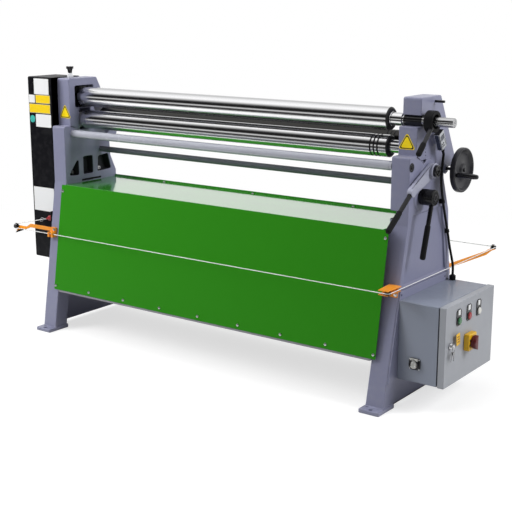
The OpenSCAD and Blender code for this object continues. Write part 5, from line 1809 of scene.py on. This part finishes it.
@dataclass
class RopeGuard:
    """Trip rope around the machine with its arms, pulleys, ring, hook and switch."""

    rope_h: float = 450.0
    front_y: float = -240.0
    corner_rise: float = 20.0
    corner_fwd: float = 56.0
    wrap: float = 10.5
    lean: float = 29.0
    rise: float = 72.0
    outer: float = 925.5
    bracket: Pair = (889.0, 930.0)
    bracket_zone: Pair = (870.0, -200.0)

    def build(self) -> None:
        """Builds the arms, pulleys, rope and switch."""
        arms = merged_copy("rope_arms", Finishes.orange, 0.9)
        low, high = self.bracket
        for point in arms.data.vertices:
            if point.co.x > self.bracket_zone[0] * MM and point.co.y < self.bracket_zone[1] * MM:
                point.co.x = min(max(point.co.x, low * MM), high * MM)
        place(settle(arms), Body.MACHINE, "rope_arms")
        self.make_rope()
        self.make_pulleys()
        self.make_switch()

    @property
    def lean_v(self) -> Vector:
        """Upward direction in the plane of the leaning pulley."""
        a = math.radians(self.lean)
        return Vector((0, math.sin(a), math.cos(a)))

    @property
    def lean_n(self) -> Vector:
        """Axis of the leaning pulley."""
        a = math.radians(self.lean)
        return Vector((0, math.cos(a), -math.sin(a)))

    @property
    def corner(self) -> Vector:
        """Middle of the pulley at the right front corner."""
        return Vector((
            self.outer + 10 - self.wrap, self.front_y - self.corner_fwd + self.wrap, self.rope_h + self.corner_rise,
        ))

    @property
    def left_tip(self) -> Vector:
        """Middle of the leaning pulley at the far left."""
        return Vector((-(self.outer + 232), self.front_y, self.rope_h)) + self.wrap * self.lean_v

    @property
    def rear_tip(self) -> Vector:
        """Middle of the pulley at the right rear."""
        return Vector((self.outer + 13, 617, self.rope_h + 30))

    @property
    def switch_end(self) -> Vector:
        """End of the rope in the switch."""
        return Vector((-(self.outer + 40), self.front_y, self.rope_h)) + self.rise * self.lean_v

    def turn_angle(self) -> float:
        """Works out where the rope leaves the leaning pulley.

        Returns:
            The angle in degrees.
        """
        u = self.switch_end.x - self.left_tip.x
        v = self.rise - self.wrap
        return math.degrees(math.atan2(v, u) + math.acos(self.wrap / math.hypot(u, v)))

    def around(self, centre: Vector, start: float, stop: float, a: Vector, b: Vector) -> list[Vector]:
        """Lays the rope on a pulley.

        Args:
            centre: Middle of the pulley.
            start: Angle in degrees where it meets the pulley.
            stop: Angle in degrees where it leaves.
            a: Direction of angle 0.
            b: Direction of angle 90.

        Returns:
            Points along the rope.
        """
        n = max(2, math.ceil(abs(stop - start) / 12))
        angles = [math.radians(start + (stop - start) * i / n) for i in range(n + 1)]
        return [centre + self.wrap * (math.cos(t) * a + math.sin(t) * b) for t in angles]

    def make_rope(self) -> None:
        """Lays the rope along its whole route."""
        x, y = Vector(X_AXIS), Vector(Y_AXIS)
        r = self.rear_tip
        route = [
            self.switch_end, *self.around(self.left_tip, self.turn_angle(), 270, x, self.lean_v),
            *self.around(self.corner, -90, 0, x, y),
            *self.around(r, 0, 90, x, y), *self.around(Vector((-r.x, r.y, r.z)), 90, 340, x, y),
        ]
        rope = Sweep("trip_rope_laid", route, Finishes.rope, 1.8, 6, 30.0, 3.0, 12).build()
        place(rope, Body.MACHINE, "trip_rope")

    def make_pulleys(self) -> None:
        """Turns the grooved pulleys, sets a nut on the pin of each but the corner pulley, and adds the bracket screws.
        """
        r, up = self.rear_tip, Vector(Z_AXIS)
        flange = [(5, 4.2), (5, 12.2), (4.2, 13), (3.1, 13), (2.6, 12.2), (1.6, 9)]
        wheel = [*[(-x, radius) for x, radius in flange], (0, 7.8), *reversed(flange)]
        spots = [(self.corner, up), (r, up), (Vector((-r.x, r.y, r.z)), up), (self.left_tip, -self.lean_n)]
        pulleys = solid("rope_pulleys_turned", Finishes.matt_black, *[
            lathe(wheel, axis_frame(mm(*c), d), 48) for c, d in spots
        ])
        place(pulleys, Body.MACHINE, "rope_pulleys")
        nuts = [(tuple(c + d * 6.2), tuple(d)) for c, d in spots[1:]]
        ScrewRow("pulley_nuts", Head.HEX, Finishes.zinc, Body.MACHINE, "rope_arms", 14.0, 27, nuts).build()
        side = [((916.0, -209.5, 446.0), (0, -1, -0.2)), ((-894.0, -234.0, 472.0), (0, -1, 0))]
        ScrewRow("bracket_screw", Head.HEX, Finishes.zinc, Body.MACHINE, "rope_arms", 13.0, 29, side).build()

    def make_switch(self) -> None:
        """Red rope switch with its bracket, ring, hook and clamp."""
        end = self.switch_end
        tilt = math.radians(self.turn_angle() - 90)
        d = Vector((math.cos(tilt), 0, 0)) + math.sin(tilt) * self.lean_v
        where = axis_frame(mm(*end), d)
        body = [
            (-8, 2.6), (-8, 4.8), (-6, 5), (8, 5), (8, 11.5), (10, 13), (26, 13), (30, 11), (32, 7), (32, 0), (0, 0),
            (0, 2.6),
        ]
        switch = solid(
            "rope_switch_moulded", (Finishes.red, Finishes.matt_black),
            lathe(eased(body, 1.0), where, 48, 0),
            box((-933.5, end.y - 12, end.z - 6), (-925.5, end.y + 12, end.z + 40), 1.5, 2, 1),
        )
        place(switch, Body.MACHINE, "rope_switch")
        side = d.cross(self.lean_n).normalized()
        def loop(centre: Vector, a: Vector, b: Vector, ra: float, rb: float) -> list[Vector]:
            """Lays a closed oval route.

            Args:
                centre: Its middle.
                a: Direction of its first half-axis.
                b: Direction of its second half-axis.
                ra: First half-axis in millimetres.
                rb: Second half-axis in millimetres.

            Returns:
                Points from one end round to the same end.
            """
            return [
                centre + ra * math.cos(math.tau * k / 28) * a + rb * math.sin(math.tau * k / 28) * b for k in range(29)
            ]
        ring = Sweep("rope_ring", loop(end - d * 38, d, side, 10, 9), Finishes.zinc, 1.6, 0, 24.0, 1.5, 12).build()
        place(ring, Body.MACHINE, slot="trip_rope")
        hook = Sweep(
            "rope_hook", loop(end - d * 20, d, self.lean_n, 12, 5.5), Finishes.zinc, 1.5, 0, 24.0, 1.5, 12,
        ).build()
        place(hook, Body.MACHINE, slot="trip_rope")
        clamp = solid(
            "rope_clamp", Finishes.zinc,
            box((-916, self.front_y - 5.5, self.rope_h - 5.5), (-902, self.front_y + 5.5, self.rope_h + 5.5), 1.6, 3),
        )
        place(clamp, Body.MACHINE, slot="trip_rope")


# ---------------------------------------------------------------- studio


@dataclass
class Studio:
    """Pale floor, soft lights, bright surroundings and the camera."""

    lens: float = 75.2
    sensor: float = 36.0
    spot: Point = (2.786, -3.644, 1.523)
    forward: Point = (-0.5753, 0.7842, -0.2326)
    surroundings: float = 0.27
    second_bounce: float = 0.12
    floor_size: float = 4.5
    floor_tone: float = 0.42
    floor_lift: float = 0.665
    floor_melts: Pair = (2.2, 3.8)
    floor_dims: Pair = (1.25, 2.1)
    dimming: float = 0.94
    floor_in_metal: float = 0.86
    floor_bounce: float = 0.45
    lamps: tuple[tuple[str, Point, Point, float, float], ...] = (
        ("side_light", (6.6, 1.6, 5.0), (0.3, 0, 0.7), 3.4, 420.0),
        ("top_light", (-0.4, -1.0, 5.2), (0, 0, 0.7), 4.0, 95.0),
        ("front_light", (-2.7, -2.5, 2.7), (-0.8, 0, 0.8), 2.0, 118.0),
    )
    panels: tuple[Pair, ...] = (
        (-180, 0.9), (-150, 0.7), (-90, 0.3), (-35, 0.4), (-24, 0.03), (-9, 0.02), (-2, 0.62), (6, 0.62), (11, 0.02),
        (17, 0.015), (30, 0.012), (39, 0.045), (48, 0.31), (59, 0.76), (70, 1.12), (84, 1.15), (97, 1.05), (112, 0.86),
        (130, 0.64), (145, 0.66), (158, 0.8), (166, 0.95), (180, 0.95),
    )

    def build(self) -> None:
        """Sets up the whole studio."""
        self.floor()
        self.world()
        for values in self.lamps:
            self.lamp(*values)
        self.camera()

    def floor(self) -> None:
        """A wide white floor that keeps the shadow and melts into the background."""
        bm = bmesh.new()
        bmesh.ops.create_grid(bm, x_segments=1, y_segments=1, size=self.floor_size)
        mesh = bpy.data.meshes.new("studio_floor")
        bm.to_mesh(mesh)
        bm.free()
        floor = bpy.data.objects.new("studio_floor", mesh)
        bpy.context.scene.collection.objects.link(floor)
        mat = bpy.data.materials.new("studio_floor")
        mat.use_nodes = True
        tree = mat.node_tree
        tree.nodes.clear()
        out, path, coord, reach, parts = (tree.nodes.new(f"ShaderNode{kind}") for kind in (
            "OutputMaterial", "LightPath", "TexCoord", "VectorMath", "SeparateXYZ",
        ))
        real, soft, lift, white, both, fade, seen = (tree.nodes.new(f"ShaderNode{kind}") for kind in (
            "BsdfDiffuse", "BsdfDiffuse", "Emission", "Emission", "AddShader", "MixShader", "MixShader",
        ))
        soft.inputs["Color"].default_value = (self.floor_tone, self.floor_tone, self.floor_tone, 1)
        lift.inputs["Strength"].default_value = self.floor_lift
        white.inputs["Strength"].default_value = 1.0
        reach.operation = "LENGTH"
        wire(
            tree, (coord, "Object", reach, 0), (coord, "Object", parts, 0), (soft, 0, both, 0), (lift, 0, both, 1),
            (both, 0, fade, 1), (white, 0, fade, 2), (path, "Is Camera Ray", seen, 0), (real, 0, seen, 1),
            (fade, 0, seen, 2), (seen, 0, out, "Surface"),
        )
        tree.links.new(map_range(tree, reach.outputs["Value"], *self.floor_melts), fade.inputs[0])
        far = map_range(tree, math_node(tree, "ABSOLUTE", parts.outputs["Y"]), *self.floor_dims, 0.0, self.dimming)
        deep = map_range(tree, path.outputs["Glossy Depth"], 1.0, 2.0, 0.0, 1.0 - self.second_bounce)
        gloss = path.outputs["Is Glossy Ray"]
        shine = map_range(tree, math_node(tree, "MAXIMUM", far, deep), 0.0, 1.0, self.floor_in_metal, 0.0)
        bounce = map_range(tree, gloss, 0.0, 1.0, self.floor_bounce, 0.0)
        tone = math_node(tree, "ADD", math_node(tree, "MULTIPLY", shine, gloss), bounce)
        tree.links.new(tone, real.inputs["Color"])
        mesh.materials.append(mat)

    def world(self) -> None:
        """Even surroundings, seen white by the camera and as bright bands by polished metal."""
        world = bpy.data.worlds.new("studio_world")
        bpy.context.scene.world = world
        world.use_nodes = True
        tree = world.node_tree
        tree.nodes.clear()
        out, path, even, seen, gloss, first, second = (tree.nodes.new(f"ShaderNode{kind}") for kind in (
            "OutputWorld", "LightPath", "Background", "Background", "Background", "MixShader", "MixShader",
        ))
        for node in (even, seen):
            node.inputs["Color"].default_value = (1, 1, 1, 1)
        even.inputs["Strength"].default_value = self.surroundings
        brightness = map_range(tree, path.outputs["Glossy Depth"], 1.0, 2.0, 1.0, self.second_bounce)
        straight = math_node(tree, "MAXIMUM", path.outputs["Is Camera Ray"], path.outputs["Is Transmission Ray"])
        tree.links.new(self.bands(tree), gloss.inputs["Color"])
        tree.links.new(brightness, gloss.inputs["Strength"])
        tree.links.new(straight, second.inputs[0])
        wire(
            tree, (path, "Is Glossy Ray", first, 0), (even, 0, first, 1), (gloss, 0, first, 2), (first, 0, second, 1),
            (seen, 0, second, 2), (second, 0, out, "Surface"),
        )

    def bands(self, tree: Tree) -> Socket:
        """Bright and dark panels of the studio, by the angle about the X axis from the front over the top to the back.

        Args:
            tree: The world's node tree.

        Returns:
            The brightness as a colour socket.
        """
        coord, parts, ramp = (tree.nodes.new(f"ShaderNode{kind}") for kind in ("TexCoord", "SeparateXYZ", "ValToRGB"))
        tree.links.new(coord.outputs["Generated"], parts.inputs[0])
        front = math_node(tree, "MULTIPLY", parts.outputs["Y"], -1.0)
        angle = math_node(tree, "ARCTAN2", parts.outputs["Z"], front)
        share = map_range(tree, angle, -math.pi, math.pi)
        tree.links.new(share, ramp.inputs[0])
        elements = ramp.color_ramp.elements
        elements[0].position, elements[1].position = (self.panels[0][0] + 180) / 360, (self.panels[-1][0] + 180) / 360
        for degrees, _ in self.panels[1:-1]:
            elements.new((degrees + 180) / 360)
        for element, (_, value) in zip(elements, self.panels):
            element.color = (value, value, value, 1)
        return ramp.outputs[0]

    def lamp(self, name: str, spot: Point, aim: Point, size: float, power: float) -> None:
        """Adds a large soft lamp that faces a point.

        Args:
            name: Lamp name.
            spot: Its place in metres.
            aim: The point it faces.
            size: Length of its side in metres.
            power: Its power in watts.
        """
        data = bpy.data.lights.new(name, "AREA")
        data.size = size
        data.energy = power
        obj = bpy.data.objects.new(name, data)
        obj.location = spot
        obj.rotation_euler = (Vector(aim) - Vector(spot)).to_track_quat("-Z", "Y").to_euler()
        obj.visible_glossy = False
        bpy.context.scene.collection.objects.link(obj)

    def camera(self) -> None:
        """Adds the camera."""
        data = bpy.data.cameras.new("camera")
        data.lens = self.lens
        data.sensor_width = self.sensor
        obj = bpy.data.objects.new("camera", data)
        obj.location = self.spot
        obj.rotation_euler = Vector(self.forward).to_track_quat("-Z", "Y").to_euler()
        bpy.context.scene.collection.objects.link(obj)
        bpy.context.scene.camera = obj
        bpy.context.scene.view_settings.view_transform = "Standard"


def main() -> None:
    """Builds every assembly in order."""
    logging.basicConfig(level=logging.INFO, format="%(name)s: %(message)s")
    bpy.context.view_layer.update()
    for part in (EndFrames(), Rolls(), Panels(), DriveCover(), Controls(), Readout(), Cabinet(), RopeGuard(), Studio()):
        log.info("building %s", type(part).__name__)
        part.build()


if __name__ == "__main__":
    main()
